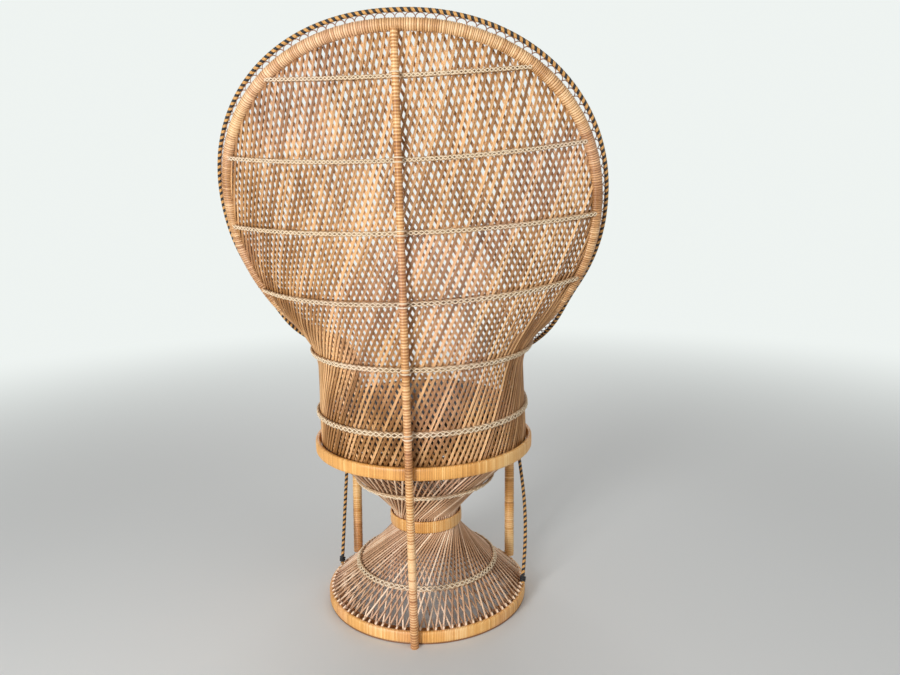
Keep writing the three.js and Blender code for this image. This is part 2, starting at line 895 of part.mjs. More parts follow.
function shortened(points, gap) {
  const kept = points.map((p) => p.clone());
  const last = kept.length - 1;
  const end = kept[last].clone().sub(kept[last - 1]).normalize();
  const start = kept[1].clone().sub(kept[0]).normalize();
  kept[0].addScaledVector(start, gap);
  kept[last].addScaledVector(end, -gap);
  return kept;
}

const sides = [["left", 1], ["right", -1]];
const fanStart = vec(armStart.x, -armStart.y, -armStart.z);
const onSide = (points, side) => points.map((p) => vec(side * p.x, p.y, p.z));

function makePoles() {
  const fanRow = evenStations(shortened(fanWhole, clearance / 2), poleStep);
  add("fan_hoop", pole(squared(fanRow, fanStart, armStart), poleRadius), caneColour);
  const armPoints = rightRim.slice(fanRows, fanRows + armRows + 1);
  for (const [name, side] of sides) {
    const arm = evenStations(onSide(shortened(armPoints, clearance / 2), side), poleStep, side);
    const [from, to] = onSide([armStart, postUp.clone().negate()], side);
    add(`arm_rail_${name}`, pole(squared(arm, from, to, side), poleRadius), caneColour);
    const top = armFront.clone().addScaledVector(postUp, -clearance);
    const rows = [top, postFoot].map((p) => vec(side * p.x, p.y, p.z));
    const along = rows[1].clone().sub(rows[0]).normalize();
    const head = station(rows[0], along, side);
    const foot = { at: rows[1], out: vec(side, 0, 0), across: vec(0, Math.sign(head.across.y), 0) };
    add(`front_post_${name}`, pole([head, foot], poleRadius), caneColour);
  }
  const spineRow = (z) =>
    section(roundOutline(spineRadius(z), poleSides), vec(0, spineLine(z), z), vec(1, 0, 0), vec(0, 1, 0));
  const spine = loft([0, seatRingMiddle, (seatRingMiddle + spineTop) / 2, spineTop].map(spineRow));
  const near = fanWhole.filter((p) => Math.abs(p.x) < 6 * poleRadius);
  const cope = pole(stations(near), (poleRadius + clearance) / Math.cos(Math.PI / poleSides));
  add("spine_pole", geometryOf(solid(spine).subtract(solid(cope))), caneColour);
}

// Back

// Strands nailed along the seat ring, then those that start on an arm's post, then those on the hoop
function makeBackStrands() {
  const footParts = 4;
  for (const [layerName, layer, lean] of [["outer", 1, -1], ["inner", -1, 1]]) {
    const all = strandStarts(lean, layer);
    const onFoot = all.filter(footed);
    const footGroups = layer > 0 ? footParts : 1;
    for (let k = 0; k < footGroups; k++) {
      const from = Math.round((k * onFoot.length) / footGroups);
      const to = Math.round(((k + 1) * onFoot.length) / footGroups);
      const list = onFoot.slice(from, to);
      const starts = list.map((s) => s.start);
      const half = backPitch / 2 - clearance;
      const parts = list.map((s) => backStrand(s.start, lean, layer, s.range));
      parts.push(footStrip(Math.min(...starts) - half, Math.max(...starts) + half, layer));
      add(`back_${layerName}_strands_${layer > 0 ? k + 1 : "seat"}`, joined(parts), reedColour);
    }
    const onRim = all.filter((s) => !footed(s));
    const onArm = onRim.filter((s) => s.range.low < fanFoot);
    const onHoop = onRim.filter((s) => s.range.low >= fanFoot);
    for (const [name, list] of [["arm", onArm], ["hoop", onHoop]]) {
      const lows = list.map((s) => s.range.low);
      const low = Math.max(shellFoot + stripHeight, Math.min(...lows) - 2 * stripHeight);
      const route = edgeRoute(-lean, low, Math.max(...lows) + 9 * stripHeight, layer);
      const strands = list.map((s) => fromStrip(s, lean, route));
      const parts = strands.map((s) => backStrand(s.start, lean, layer, s.range));
      parts.push(shellStrip(route, layer, edgeStripWidth));
      add(`back_${layerName}_strands_${name}`, joined(parts), reedColour);
    }
  }
}

function makeBackBands() {
  backBands.forEach((band, k) => {
    const lift = (bandSeat + bandReach) / 2;
    const [right, left] = [-1, 1].map((side) => {
      let end = edgeArc(band.height + band.rise) + backPitch;
      while (!clearOfRim(side * end, bandLevel(band, side * end), null, bandHeight / 2, lift)) end -= 1;
      return side * end;
    });
    const rows = [];
    for (let i = 0; i <= bandSteps; i++) {
      const arc = right + ((left - right) * i) / bandSteps;
      const z = bandLevel(band, arc);
      const onBand = (at) => shellPoint(at, bandLevel(band, at));
      const along = onBand(arc + 1).sub(onBand(arc - 1));
      const normal = shellNormal(arc, z);
      const across = along.normalize().cross(normal).normalize();
      rows.push(section(boxOutline(bandHeight, bandSeat, bandReach), shellPoint(arc, z), across, normal));
    }
    add(`back_band_${k + 1}`, loft(rows), paleColour, 0.7);
  });
}

// Lashings bind the spine to the bands: a strap round the back of the spine that ends on the band.
function makeLashings() {
  backBands.forEach(({ height }, k) => {
    const inner = spineRadius(height - lashingHeight / 2) + 2 * clearance;
    const outer = inner + lashingThickness;
    const centre = spineLine(height);
    const front = rearLine(height) + bandReach + clearance - centre + 0.5;
    const steps = 6;
    const arc = (radius) =>
      Array.from({ length: steps + 1 }, (_, i) => {
        const turn = (i / steps) * Math.PI;
        return new THREE.Vector2(radius * Math.cos(turn), radius * Math.sin(turn));
      });
    const outline = [
      new THREE.Vector2(outer, front),
      ...arc(outer),
      new THREE.Vector2(-outer, front),
      new THREE.Vector2(-inner, front),
      ...arc(inner).reverse(),
      new THREE.Vector2(inner, front),
    ];
    const shape = new THREE.Shape(outline);
    const geometry = new THREE.ExtrudeGeometry(shape, { depth: lashingHeight, bevelEnabled: false });
    geometry.translate(0, centre, height - lashingHeight / 2);
    add(`spine_lashing_${k + 1}`, bare(geometry), paleColour, 0.7);
  });
}

// Trim

const ropeOffset = poleRadius + ropeGap + ropeRadius;

// The rope lies beyond the pole on the run of the shell, and turns to the pole's outer side along the arm.
function trimStation({ at, along, out }) {
  const normal = shellNormal(Math.sign(at.x) * edgeArc(at.z), at.z);
  const beyond = along.clone().cross(normal).normalize();
  if (beyond.dot(out) < 0) beyond.negate();
  const turned = smooth((at.z - ropeTurned) / (armRear.z - ropeTurned));
  const side = out.clone().lerp(beyond, turned).normalize();
  return { at, along, out: side, across: along.clone().cross(side).normalize() };
}

function ropeAt(s) {
  return s.at.clone().addScaledVector(s.out, ropeOffset);
}

function lacingRow(s, i) {
  const inner = poleRadius * Math.cos(Math.PI / poleSides) + 2 * clearance + lacingRadius;
  const outer = ropeOffset - ropeRadius - ropeSag - clearance - lacingRadius;
  const at = s.at.clone().addScaledVector(s.out, i % 2 ? outer : inner);
  return section(roundOutline(lacingRadius, 3), at, s.out, s.across);
}

function makeTrim() {
  const fan = squared(evenStations(fanWhole, ropeStep), fanStart, armStart).map(trimStation);
  const round = roundOutline(ropeRadius, 5);
  const alongRope = (rows) => loft(rows.map((s) => section(round, s.at, s.out, s.across)));
  const fanRope = stations(shortened(fan.map(ropeAt), clearance / 2));
  add("trim_rope_fan", alongRope(squared(fanRope, fanStart, armStart)), ropeColour, 0.7);
  const laced = evenStations(shortened(fanWhole, lacingRadius), lacingStep).map(trimStation);
  add("trim_lacing_fan", loft(laced.map(lacingRow)), caneColour);
  const lower = rightRim.slice(fanRows).filter((p) => p.z > ropeLeaves);
  for (const [name, side] of sides) {
    const [from, to] = onSide([armStart, postUp.clone().negate()], side);
    const even = evenStations(onSide(lower, side), ropeStep, side);
    const rows = squared(even, from, to, side).map(trimStation);
    const angle = ropeEndAngle[name];
    const tailRadius = baseRingRadius - ringWall / 2;
    const tail = vec(side * tailRadius * Math.sin(angle), tailRadius * Math.cos(angle), baseRingHeight);
    const leaving = ropeAt(rows[rows.length - 1]);
    const hanging = [0.25, 0.5, 0.75].map((t) =>
      leaving.clone().lerp(tail, t).add(vec(side * ropeSlack[name] * Math.sin(t * Math.PI), 0, 0)),
    );
    const slant = tail.clone().sub(hanging[2]).normalize().z;
    tail.z += clearance + ropeRadius * Math.sqrt(1 - slant ** 2);
    const route = [...rows.map(ropeAt), ...hanging, tail];
    const rope = stations(shortened(route, clearance / 2), side);
    const ends = squared(rope, from, rope[rope.length - 1].along, side);
    add(`trim_rope_${name}`, alongRope(ends), ropeColour, 0.7);
    const lacing = evenStations(shortened(onSide(lower, side), lacingRadius), lacingStep, side);
    add(`trim_lacing_${name}`, loft(lacing.map(trimStation).map(lacingRow)), caneColour);
  }
}

// A round box cushion with a crowned top and bottom and a drawn-in side between two seams.
function makeCushion() {
  const low = deckHigh + clearance + cushionCrown;
  const high = low + cushionEdge;
  const rings = 4;
  const outline = [];
  for (let i = 0; i <= rings; i++) {
    const turn = (i / rings) * (Math.PI / 2);
    outline.push([cushionRadius * Math.sin(turn), low - cushionCrown * Math.cos(turn)]);
  }
  const drawn = 4;
  for (let i = 1; i < drawn; i++) {
    const t = i / drawn;
    outline.push([cushionRadius - cushionDrawIn * Math.sin(t * Math.PI), low + t * cushionEdge]);
  }
  for (let i = rings; i >= 0; i--) {
    const turn = (i / rings) * (Math.PI / 2);
    outline.push([cushionRadius * Math.sin(turn), high + cushionCrown * Math.cos(turn)]);
  }
  const points = outline.map(([r, z]) => new THREE.Vector2(r, z));
  const geometry = new THREE.LatheGeometry(points, cushionSides);
  geometry.rotateX(Math.PI / 2);
  add("seat_cushion", bare(geometry), clothColour, 0.9);
}

makeBase();
makeBaseStrands();
makeBaseBands();
makeSeat();
makePoles();
makeBackStrands();
makeBackBands();
makeLashings();
makeTrim();
makeCushion();

const reach = new THREE.Box3().setFromObject(chair);
chair.position.set(0, -(reach.min.y + reach.max.y) / 2, 0);

const root = new THREE.Group();
root.add(chair);

export default root;
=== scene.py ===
import math

import bmesh
import bpy
import numpy as np
from mathutils import Matrix, Vector


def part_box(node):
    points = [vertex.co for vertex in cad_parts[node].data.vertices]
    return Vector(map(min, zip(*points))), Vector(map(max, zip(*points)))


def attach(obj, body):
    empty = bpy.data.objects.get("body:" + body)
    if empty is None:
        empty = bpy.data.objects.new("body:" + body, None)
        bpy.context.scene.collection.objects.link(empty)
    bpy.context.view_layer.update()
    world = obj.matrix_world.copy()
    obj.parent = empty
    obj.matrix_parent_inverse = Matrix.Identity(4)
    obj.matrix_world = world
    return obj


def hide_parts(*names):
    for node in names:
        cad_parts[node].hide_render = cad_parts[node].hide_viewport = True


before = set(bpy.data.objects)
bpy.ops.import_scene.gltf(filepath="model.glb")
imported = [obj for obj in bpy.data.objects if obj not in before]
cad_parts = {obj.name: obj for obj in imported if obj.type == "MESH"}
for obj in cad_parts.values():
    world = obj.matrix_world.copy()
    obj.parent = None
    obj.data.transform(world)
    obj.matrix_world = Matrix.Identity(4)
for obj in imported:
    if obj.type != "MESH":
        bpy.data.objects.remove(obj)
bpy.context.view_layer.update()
ringLow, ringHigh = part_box("base_ring")
axisY = (ringLow[1] + ringHigh[1]) / 2  # the woven base stands round this line
chance = np.random.default_rng(7)
print("frame loaded, axis at y", round(axisY, 4))

# camera at the photograph's place, worked out from the rings' ellipses
cameraSet = {
    "place": (-0.2427, 1.9224, 1.076),
    "ahead": (0.08554, -0.97957, -0.18198),
    "right": (-0.99633, -0.08384, -0.01701),
    "up": (-0.00141, -0.18277, 0.98316),
    "focalPixels": 745.69,
    "pictureWidth": 900,
    "sensor": 36,
}


def makeCamera():
    data = bpy.data.cameras.new("photoCamera")
    data.sensor_width = cameraSet["sensor"]
    data.lens = cameraSet["focalPixels"] / cameraSet["pictureWidth"] * cameraSet["sensor"]
    camera = bpy.data.objects.new("photoCamera", data)
    bpy.context.collection.objects.link(camera)
    turn = Matrix((cameraSet["right"], cameraSet["up"], [-v for v in cameraSet["ahead"]])).transposed()
    x, y, z = cameraSet["place"]
    camera.matrix_world = Matrix.Translation((x, y + axisY, z)) @ turn.to_4x4()
    bpy.context.scene.camera = camera


makeCamera()
print("camera set")


# finishes


def newMaterial(name):
    material = bpy.data.materials.new(name)
    material.use_nodes = True
    nodes = material.node_tree.nodes
    return material, nodes, material.node_tree.links, nodes["Principled BSDF"]


def addNode(nodes, kind, **values):
    node = nodes.new(kind)
    for key, value in values.items():
        if hasattr(node, key):
            setattr(node, key, value)
        else:
            node.inputs[key.replace("_", " ")].default_value = value
    return node


def colourRamp(nodes, stops):
    ramp = nodes.new("ShaderNodeValToRGB")
    elements = ramp.color_ramp.elements
    while len(elements) < len(stops):
        elements.new(0.5)
    for element, (place, colour) in zip(elements, stops):
        element.position = place
        element.color = (*colour, 1)
    return ramp


caneFinishes = {
    "wrapGold": {"tones": [(0.36, 0.13, 0.02), (0.74, 0.37, 0.10), (0.93, 0.62, 0.28)], "rough": 0.38},
    "wrapPale": {"tones": [(0.42, 0.16, 0.03), (0.86, 0.44, 0.12), (0.97, 0.66, 0.29)], "rough": 0.38},
    "wrapDust": {"tones": [(0.28, 0.11, 0.03), (0.63, 0.34, 0.14), (0.86, 0.57, 0.30)], "rough": 0.42},
    "wrapSpine": {"tones": [(0.26, 0.09, 0.02), (0.58, 0.27, 0.085), (0.88, 0.57, 0.27)], "rough": 0.38},
    "reedPeach": {"tones": [(0.13, 0.05, 0.010), (0.41, 0.195, 0.062), (0.82, 0.49, 0.225)], "rough": 0.36},
    "reedPale": {"tones": [(0.18, 0.08, 0.03), (0.62, 0.37, 0.21), (0.93, 0.70, 0.49)], "rough": 0.38},
    "braidCream": {"tones": [(0.30, 0.17, 0.08), (0.55, 0.37, 0.21), (0.84, 0.69, 0.49)], "rough": 0.6},
}
caneLook = {
    "patches": 9.0,
    "patchShare": 0.55,
    "grain": 420.0,
    "grainShare": 0.3,
    "stops": (0.3, 0.75, 0.9615),
    "stretch": 5.5,
    "blushFrom": 0.52,
    "blushTo": 0.64,
    "blushShare": 0.35,
    "blush": {"Hue": 0.482, "Saturation": 0.84, "Value": 1.03},
    "relief": 0.0006,
}


def caneMaterial(name, tones, rough):
    s = caneLook
    material, nodes, links, shader = newMaterial(name)
    tint = addNode(nodes, "ShaderNodeAttribute", attribute_name="tint")
    coords = nodes.new("ShaderNodeTexCoord")
    patches = addNode(nodes, "ShaderNodeTexNoise", Scale=s["patches"], Detail=3.0)
    grain = addNode(nodes, "ShaderNodeTexNoise", Scale=s["grain"], Detail=4.0, Roughness=0.7)
    links.new(coords.outputs["Object"], patches.inputs["Vector"])
    links.new(coords.outputs["Object"], grain.inputs["Vector"])
    blend = addNode(nodes, "ShaderNodeMath", operation="MULTIPLY_ADD")
    links.new(patches.outputs["Fac"], blend.inputs[0])
    blend.inputs[1].default_value = s["patchShare"]
    links.new(tint.outputs["Fac"], blend.inputs[2])
    fine = addNode(nodes, "ShaderNodeMath", operation="MULTIPLY_ADD")
    links.new(grain.outputs["Fac"], fine.inputs[0])
    fine.inputs[1].default_value = s["grainShare"]
    links.new(blend.outputs[0], fine.inputs[2])
    ramp = colourRamp(nodes, list(zip(s["stops"], tones)))
    links.new(fine.outputs[0], ramp.inputs["Fac"])
    stretch = addNode(nodes, "ShaderNodeTexNoise", Scale=s["stretch"], Detail=1.0)
    links.new(coords.outputs["Object"], stretch.inputs["Vector"])
    share = addNode(nodes, "ShaderNodeMapRange", From_Min=s["blushFrom"], From_Max=s["blushTo"],
                    To_Max=s["blushShare"])
    links.new(stretch.outputs["Fac"], share.inputs["Value"])
    blush = addNode(nodes, "ShaderNodeHueSaturation", **s["blush"])
    links.new(ramp.outputs["Color"], blush.inputs["Color"])
    links.new(share.outputs["Result"], blush.inputs["Fac"])
    links.new(blush.outputs["Color"], shader.inputs["Base Color"])
    shader.inputs["Roughness"].default_value = rough
    bump = addNode(nodes, "ShaderNodeBump", Strength=0.25, Distance=s["relief"])
    links.new(grain.outputs["Fac"], bump.inputs["Height"])
    links.new(bump.outputs["Normal"], shader.inputs["Normal"])
    return material


fibreFinishes = {
    "ropeBlack": {"dark": (0.006, 0.006, 0.008), "light": (0.025, 0.023, 0.025), "rough": 0.65},
    "ropeTan": {"dark": (0.46, 0.21, 0.05), "light": (0.82, 0.47, 0.15), "rough": 0.6},
    "laceBrown": {"dark": (0.22, 0.10, 0.06), "light": (0.42, 0.23, 0.14), "rough": 0.6},
    # very dark brown, used only for the painted shadow under the base ring
    "paintedShadowBrown": {"dark": (0.16, 0.06, 0.02), "light": (0.34, 0.15, 0.05), "rough": 0.5},
}


def fibreMaterial(name, dark, light, rough):
    material, nodes, links, shader = newMaterial(name)
    coords = nodes.new("ShaderNodeTexCoord")
    fibre = addNode(nodes, "ShaderNodeTexNoise", Scale=600.0, Detail=5.0, Roughness=0.8)
    links.new(coords.outputs["Object"], fibre.inputs["Vector"])
    ramp = colourRamp(nodes, [(0.35, dark), (0.7, light)])
    links.new(fibre.outputs["Fac"], ramp.inputs["Fac"])
    links.new(ramp.outputs["Color"], shader.inputs["Base Color"])
    shader.inputs["Roughness"].default_value = rough
    bump = addNode(nodes, "ShaderNodeBump", Strength=0.5, Distance=0.0005)
    links.new(fibre.outputs["Fac"], bump.inputs["Height"])
    links.new(bump.outputs["Normal"], shader.inputs["Normal"])
    return material


finishes = {name: caneMaterial(name, **values) for name, values in caneFinishes.items()}
finishes.update({name: fibreMaterial(name, **values) for name, values in fibreFinishes.items()})
print("finishes made:", len(finishes))


# shapes shared by the pieces


def dressed(name, mesh, material, body="chair", stands=()):
    piece = bpy.data.objects.new(name, mesh)
    bpy.context.collection.objects.link(piece)
    if material is not None:
        mesh.materials.clear()
        mesh.materials.append(material)
    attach(piece, body)
    if stands:
        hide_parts(*stands)
    return piece


def smoothShade(mesh):
    mesh.polygons.foreach_set("use_smooth", [True] * len(mesh.polygons))


def setTint(mesh, values):
    layer = mesh.attributes.new("tint", "FLOAT", "POINT")
    layer.data.foreach_set("value", np.asarray(values, dtype=np.float32))


# round rods along routes: one poly spline each, its radius may change along the way
def rodMesh(name, routes, radius, roundness=1, closed=False, tints=None, swell=None,
            marks=None, materials=()):
    curve = bpy.data.curves.new(name, "CURVE")
    curve.dimensions = "3D"
    curve.bevel_depth = radius
    curve.bevel_resolution = roundness
    curve.use_fill_caps = False
    for material in materials:
        curve.materials.append(material)
    for k, route in enumerate(routes):
        spline = curve.splines.new("POLY")
        spline.points.add(len(route) - 1)
        spline.points.foreach_set("co", np.column_stack([route, np.ones(len(route))]).ravel())
        spline.use_cyclic_u = closed
        spline.use_smooth = True
        if swell is not None:
            spline.points.foreach_set("radius", swell[k])
        if marks is not None:
            spline.material_index = marks[k]
    holder = bpy.data.objects.new(name + "Curve", curve)
    bpy.context.collection.objects.link(holder)
    bpy.context.view_layer.update()
    graph = bpy.context.evaluated_depsgraph_get()
    mesh = bpy.data.meshes.new_from_object(holder.evaluated_get(graph))
    bpy.data.objects.remove(holder)
    bpy.data.curves.remove(curve)
    mesh.name = name
    smoothShade(mesh)
    if tints is not None:
        perPoint = np.concatenate([np.broadcast_to(t, len(r)) for t, r in zip(tints, routes)])
        setTint(mesh, np.repeat(perPoint, len(mesh.vertices) // len(perPoint)))
    if not closed:
        work = bmesh.new()
        work.from_mesh(mesh)
        ends = [edge for edge in work.edges if edge.is_boundary]
        bmesh.ops.holes_fill(work, edges=ends, sides=0)
        bmesh.ops.recalc_face_normals(work, faces=work.faces)
        work.to_mesh(mesh)
        work.free()
    return mesh


def lengthsAlong(points):
    steps = np.linalg.norm(np.diff(points, axis=0), axis=1)
    return np.concatenate([[0], np.cumsum(steps)])


def resampled(points, step):
    lengths = lengthsAlong(points)
    count = max(2, int(round(lengths[-1] / step)))
    at = np.linspace(0, lengths[-1], count + 1)
    return np.column_stack([np.interp(at, lengths, points[:, i]) for i in range(3)])


def levelRing(radius, z, count):
    angle = np.linspace(0, 2 * math.pi, count, endpoint=False)
    return np.column_stack([radius * np.cos(angle), radius * np.sin(angle) + axisY, np.full(count, z)])


def unit(vectors):
    return vectors / np.linalg.norm(vectors, axis=-1, keepdims=True)


def headings(points):
    return unit(np.gradient(points, axis=0))


# the back's woven shell, by length of arc from the spine and height

shellSet = {
    "foot": 0.4587,
    "seatRadius": 0.2689,
    "barrelRadius": 0.2619,
    "flareStart": 0.660,
    "flareBlend": 0.100,
    "flareRate": 1.35,
    "wallStraight": 0.66,
    "wallTop": 0.600,
    "spineFoot": 0.2828,
    "spineLean": 0.03632,
    "spineLow": 0.0105,
    "spineHigh": 0.008,
    "spineTop": 1.424,
    "bandReach": 0.01445,
    "firstBand": 0.543,
    "fanWidth": 0.432,
    "fanHeight": 0.375,
    "fanCentre": 1.057,
    "fanSquare": 2.15,
    "fanEnd": math.radians(118),
}


def ease(t):
    t = np.clip(t, 0, 1)
    return t * t * (3 - 2 * t)


def spineRadius(z):
    s = shellSet
    return s["spineLow"] + (s["spineHigh"] - s["spineLow"]) * z / s["spineTop"]


def spineLine(z):
    return shellSet["spineFoot"] + shellSet["spineLean"] * z + axisY


def shellRadius(z):
    s = shellSet
    narrowing = ease((z - s["foot"]) / (s["flareStart"] - s["foot"]))
    past = np.maximum(0, z - s["flareStart"])
    blend = s["flareBlend"]
    ramp = np.where(past < blend, past**2 / (2 * blend), past - blend / 2)
    return s["seatRadius"] + (s["barrelRadius"] - s["seatRadius"]) * narrowing + s["flareRate"] * ramp


def shellPoint(arc, z):
    s = shellSet
    arc, z = np.broadcast_arrays(np.asarray(arc, float), np.asarray(z, float))
    radius = shellRadius(z)
    touching = spineLine(z) - spineRadius(z) - s["bandReach"]
    rear = s["seatRadius"] + axisY
    rear = rear + (touching - rear) * ease((z - s["foot"]) / (s["firstBand"] - s["foot"]))
    length = np.abs(arc)
    quarter = radius * math.pi / 2
    near = np.minimum(length, quarter) / radius
    straight = s["wallStraight"] * ease((z - s["foot"]) / (s["wallTop"] - s["foot"]))
    wide = radius / (1 - straight)
    far = np.maximum(0, length - quarter) / wide
    x = radius * np.sin(near) - wide * (1 - np.cos(far))
    y = rear - radius * (1 - np.cos(near)) - wide * np.sin(far)
    return np.stack([np.sign(arc) * x, y, z], axis=-1)


def shellNormal(arc, z):
    step = 0.0005
    along = shellPoint(arc + step, z) - shellPoint(arc - step, z)
    up = shellPoint(arc, z + step) - shellPoint(arc, z - step)
    return unit(np.cross(up, along))


# the rim pole, from the crown of the fan down one arm to the foot of its post

rimSet = {
    "radius": 0.014,
    "postFootRadius": 0.271,
    "postFootAngle": math.radians(123),
    "postSeatAngle": math.radians(131),
    "postSeatRadius": 0.3033,
    "postSeatHeight": 0.4465,
    "footHeight": 0.0343,
    "armHeight": 0.575,
    "rearSweep": 0.73,
    "frontSweep": 0.47,
}


def squarer(t):
    return np.sign(t) * np.abs(t) ** (2 / shellSet["fanSquare"])


def fanPoint(turn):
    s = shellSet
    x = s["fanWidth"] * squarer(np.sin(turn))
    z = s["fanCentre"] + s["fanHeight"] * squarer(np.cos(turn))
    radius = shellRadius(z)
    return shellPoint(radius * np.arcsin(x / radius), z)


def polar(radius, angle, z):
    return np.array([radius * math.sin(angle), radius * math.cos(angle) + axisY, z])


postFoot = polar(rimSet["postFootRadius"], rimSet["postFootAngle"], rimSet["footHeight"])
postSeat = polar(rimSet["postSeatRadius"], rimSet["postSeatAngle"], rimSet["postSeatHeight"])
postUp = unit(postSeat - postFoot)


def postPoint(z):
    return postFoot + np.outer((np.atleast_1d(z) - postFoot[2]) / postUp[2], postUp)


fanHalf = fanPoint(np.linspace(0, shellSet["fanEnd"], 160))
armStart = unit(fanHalf[-1] - fanHalf[-2])
armFront = postPoint(rimSet["armHeight"])[0]
armDrop = fanHalf[-1][2] - armFront[2]
t = np.linspace(0, 1, 80)[:, None]
armHalf = (
    (1 - t) ** 3 * fanHalf[-1]
    + 3 * (1 - t) ** 2 * t * (fanHalf[-1] + rimSet["rearSweep"] * armDrop * armStart)
    + 3 * (1 - t) * t**2 * (armFront + rimSet["frontSweep"] * armDrop * postUp)
    + t**3 * armFront
)
postHalf = postPoint(np.linspace(rimSet["armHeight"], rimSet["footHeight"], 60))
rimHalf = np.concatenate([fanHalf, armHalf[1:], postHalf[1:]])


def mirrored(points):
    return points * np.array([-1, 1, 1])


fanWhole = np.concatenate([mirrored(fanHalf)[::-1][:-1], fanHalf])
rimWhole = np.concatenate([mirrored(rimHalf)[::-1][:-1], rimHalf])
rimLevels = rimHalf[rimHalf[:, 2] > shellSet["foot"] - 0.01]
arcScan = np.linspace(0, 0.76, 761)
scan = shellPoint(arcScan[None, :], rimLevels[:, 2:3])
rimArcs = arcScan[np.argmin(np.linalg.norm(scan - rimLevels[:, None, :], axis=2), axis=1)]


def edgeArc(z):
    order = np.argsort(rimLevels[:, 2])
    return np.interp(z, rimLevels[order, 2], rimArcs[order])


def rimDistance(points):
    gaps = np.linalg.norm(points[:, None, :] - rimWhole[None, ::2, :], axis=2)
    return gaps.min(axis=1)


# reeds of the back: flat pairs that lean one way outside and, more steeply, the other way inside

backSet = {
    "outer": {"pitch": 0.0134, "lean": 0.445, "crownLean": 0.21},
    "inner": {"pitch": 0.0145, "lean": 0.637, "crownLean": 0.50},
    "leanChange": 0.850,
    "reedRadius": 0.0017,
    "pairHalf": 0.0016,
    "lift": 0.0024,
    "rise": 0.024,
    "wander": 0.0007,
    "wanderRate": 31,
    "wanderPhase": 6.3,
    "uneven": 0.0009,
    "loose": 0.0003,
    "buried": 0.004,
    "inset": 0.006,
    "sunk": 0.012,
    "spare": 0.05,
    "scan": 0.005,
    "shortest": 8,
    "tone": 0.40,
    "toneSpread": 0.1,
    "reedSpread": 0.04,
}
crown = shellSet["fanCentre"] + shellSet["fanHeight"]


def leanShift(s, z):
    past = np.maximum(0, z - backSet["leanChange"])
    lost = (s["lean"] - s["crownLean"]) * past**2 / (2 * (crown - backSet["leanChange"]))
    return s["lean"] * (z - shellSet["foot"]) - lost


def backRoutes(s, lean, layer):
    b = backSet
    half = edgeArc(shellSet["foot"]) - rimSet["radius"]
    reach = leanShift(s, crown) + b["spare"]
    z = np.arange(shellSet["foot"] - b["sunk"], crown, b["scan"])
    routes = []
    for i in range(int((2 * half + reach) / s["pitch"])):
        start = lean * (half - b["inset"] - i * s["pitch"]) + chance.normal(0, b["uneven"])
        arc = start + lean * leanShift(s, z)
        points = shellPoint(arc, z)
        inside = (np.abs(arc) < edgeArc(z)) & (rimDistance(points) > rimSet["radius"] - b["buried"])
        steps = np.flatnonzero(np.diff(np.concatenate([[0], inside.astype(int), [0]])))
        for first, last in zip(steps[::2], steps[1::2]):
            if last - first < b["shortest"]:
                continue
            span = z[last - 1] - z[first]
            rows = np.linspace(z[first], z[last - 1], max(3, int(span / b["rise"]) + 1))
            sway = b["wander"] * np.sin(rows * b["wanderRate"] + chance.uniform(0, b["wanderPhase"]))
            arc = start + lean * leanShift(s, rows) + sway
            normal = shellNormal(arc, rows)
            centre = shellPoint(arc, rows) + normal * (layer * b["lift"])
            across = unit(np.cross(headings(centre), normal))
            for side in (-1, 1):
                loose = normal * chance.normal(0, b["loose"])
                routes.append(centre + across * (side * b["pairHalf"]) + loose)
    return routes


def makeBack():
    b = backSet
    for name, layer, lean in (("outer", 1, -1), ("inner", -1, 1)):
        routes = backRoutes(b[name], lean, layer)
        tones = chance.normal(b["tone"], b["toneSpread"], len(routes) // 2)
        tints = np.repeat(tones, 2) + chance.normal(0, b["reedSpread"], len(routes))
        mesh = rodMesh("back_" + name + "_reeds", routes, b["reedRadius"], 1, tints=tints)
        stands = [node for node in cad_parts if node.startswith("back_" + name + "_strands")]
        dressed("back_" + name + "_reeds", mesh, finishes["reedPeach"], stands=stands)
        print("back", name, "reeds:", len(routes), "faces", len(mesh.polygons))


makeBack()


# reeds of the hourglass

hourglassSet = {
    "count": 84,
    "reedRadius": 0.0025,
    "lift": 0.0027,
    "rows": [(0.2615, 0.0300), (0.0850, 0.2040), (0.0850, 0.2490), (0.2689, 0.4420)],
    "turns": [0, math.radians(47), math.radians(55), math.radians(92)],
    "steps": 5,
    "uneven": 0.004,
    # the reeds' own pinkish tone, set lower to paint the shade that falls under the seat ring
    "tint": 0.31,
    "tintSpread": 0.13,
    "stubFoot": 0.001,
    "stub": 0.010,
    "stubLift": 0.0036,
    "stubTint": 0.55,
}


def hourglassRoute(start, lean, layer):
    s = hourglassSet
    corners = []
    for (radius, z), turn in zip(s["rows"], s["turns"]):
        angle = start + lean * turn
        corners.append((radius * math.cos(angle), radius * math.sin(angle), z))
    corners = np.array(corners)
    parts = []
    for a, b in zip(corners[:-1], corners[1:]):
        share = np.linspace(0, 1, s["steps"], endpoint=False)[:, None]
        parts.append(a + (b - a) * share)
    route = np.concatenate([*parts, corners[-1:]])
    out = unit(route * np.array([1, 1, 0]))
    slope = np.gradient(np.linalg.norm(route[:, :2], axis=1), route[:, 2])
    normal = unit(out - np.array([0, 0, 1]) * slope[:, None])
    return route + normal * (layer * s["lift"]) + np.array([0, axisY, 0])


# a cut end that shows beside each foot, over the edge of the ring
def footStub(route):
    s = hourglassSet
    up = unit(route[1] - route[0])
    out = unit((route[0] - np.array([0, axisY, 0])) * np.array([1, 1, 0]))
    rise = np.cross(unit(np.cross(up, out)), up)
    rise = rise * np.sign(rise[2])
    return route[0] + rise * s["stubLift"] + up * np.array([[s["stubFoot"]], [s["stub"]]])


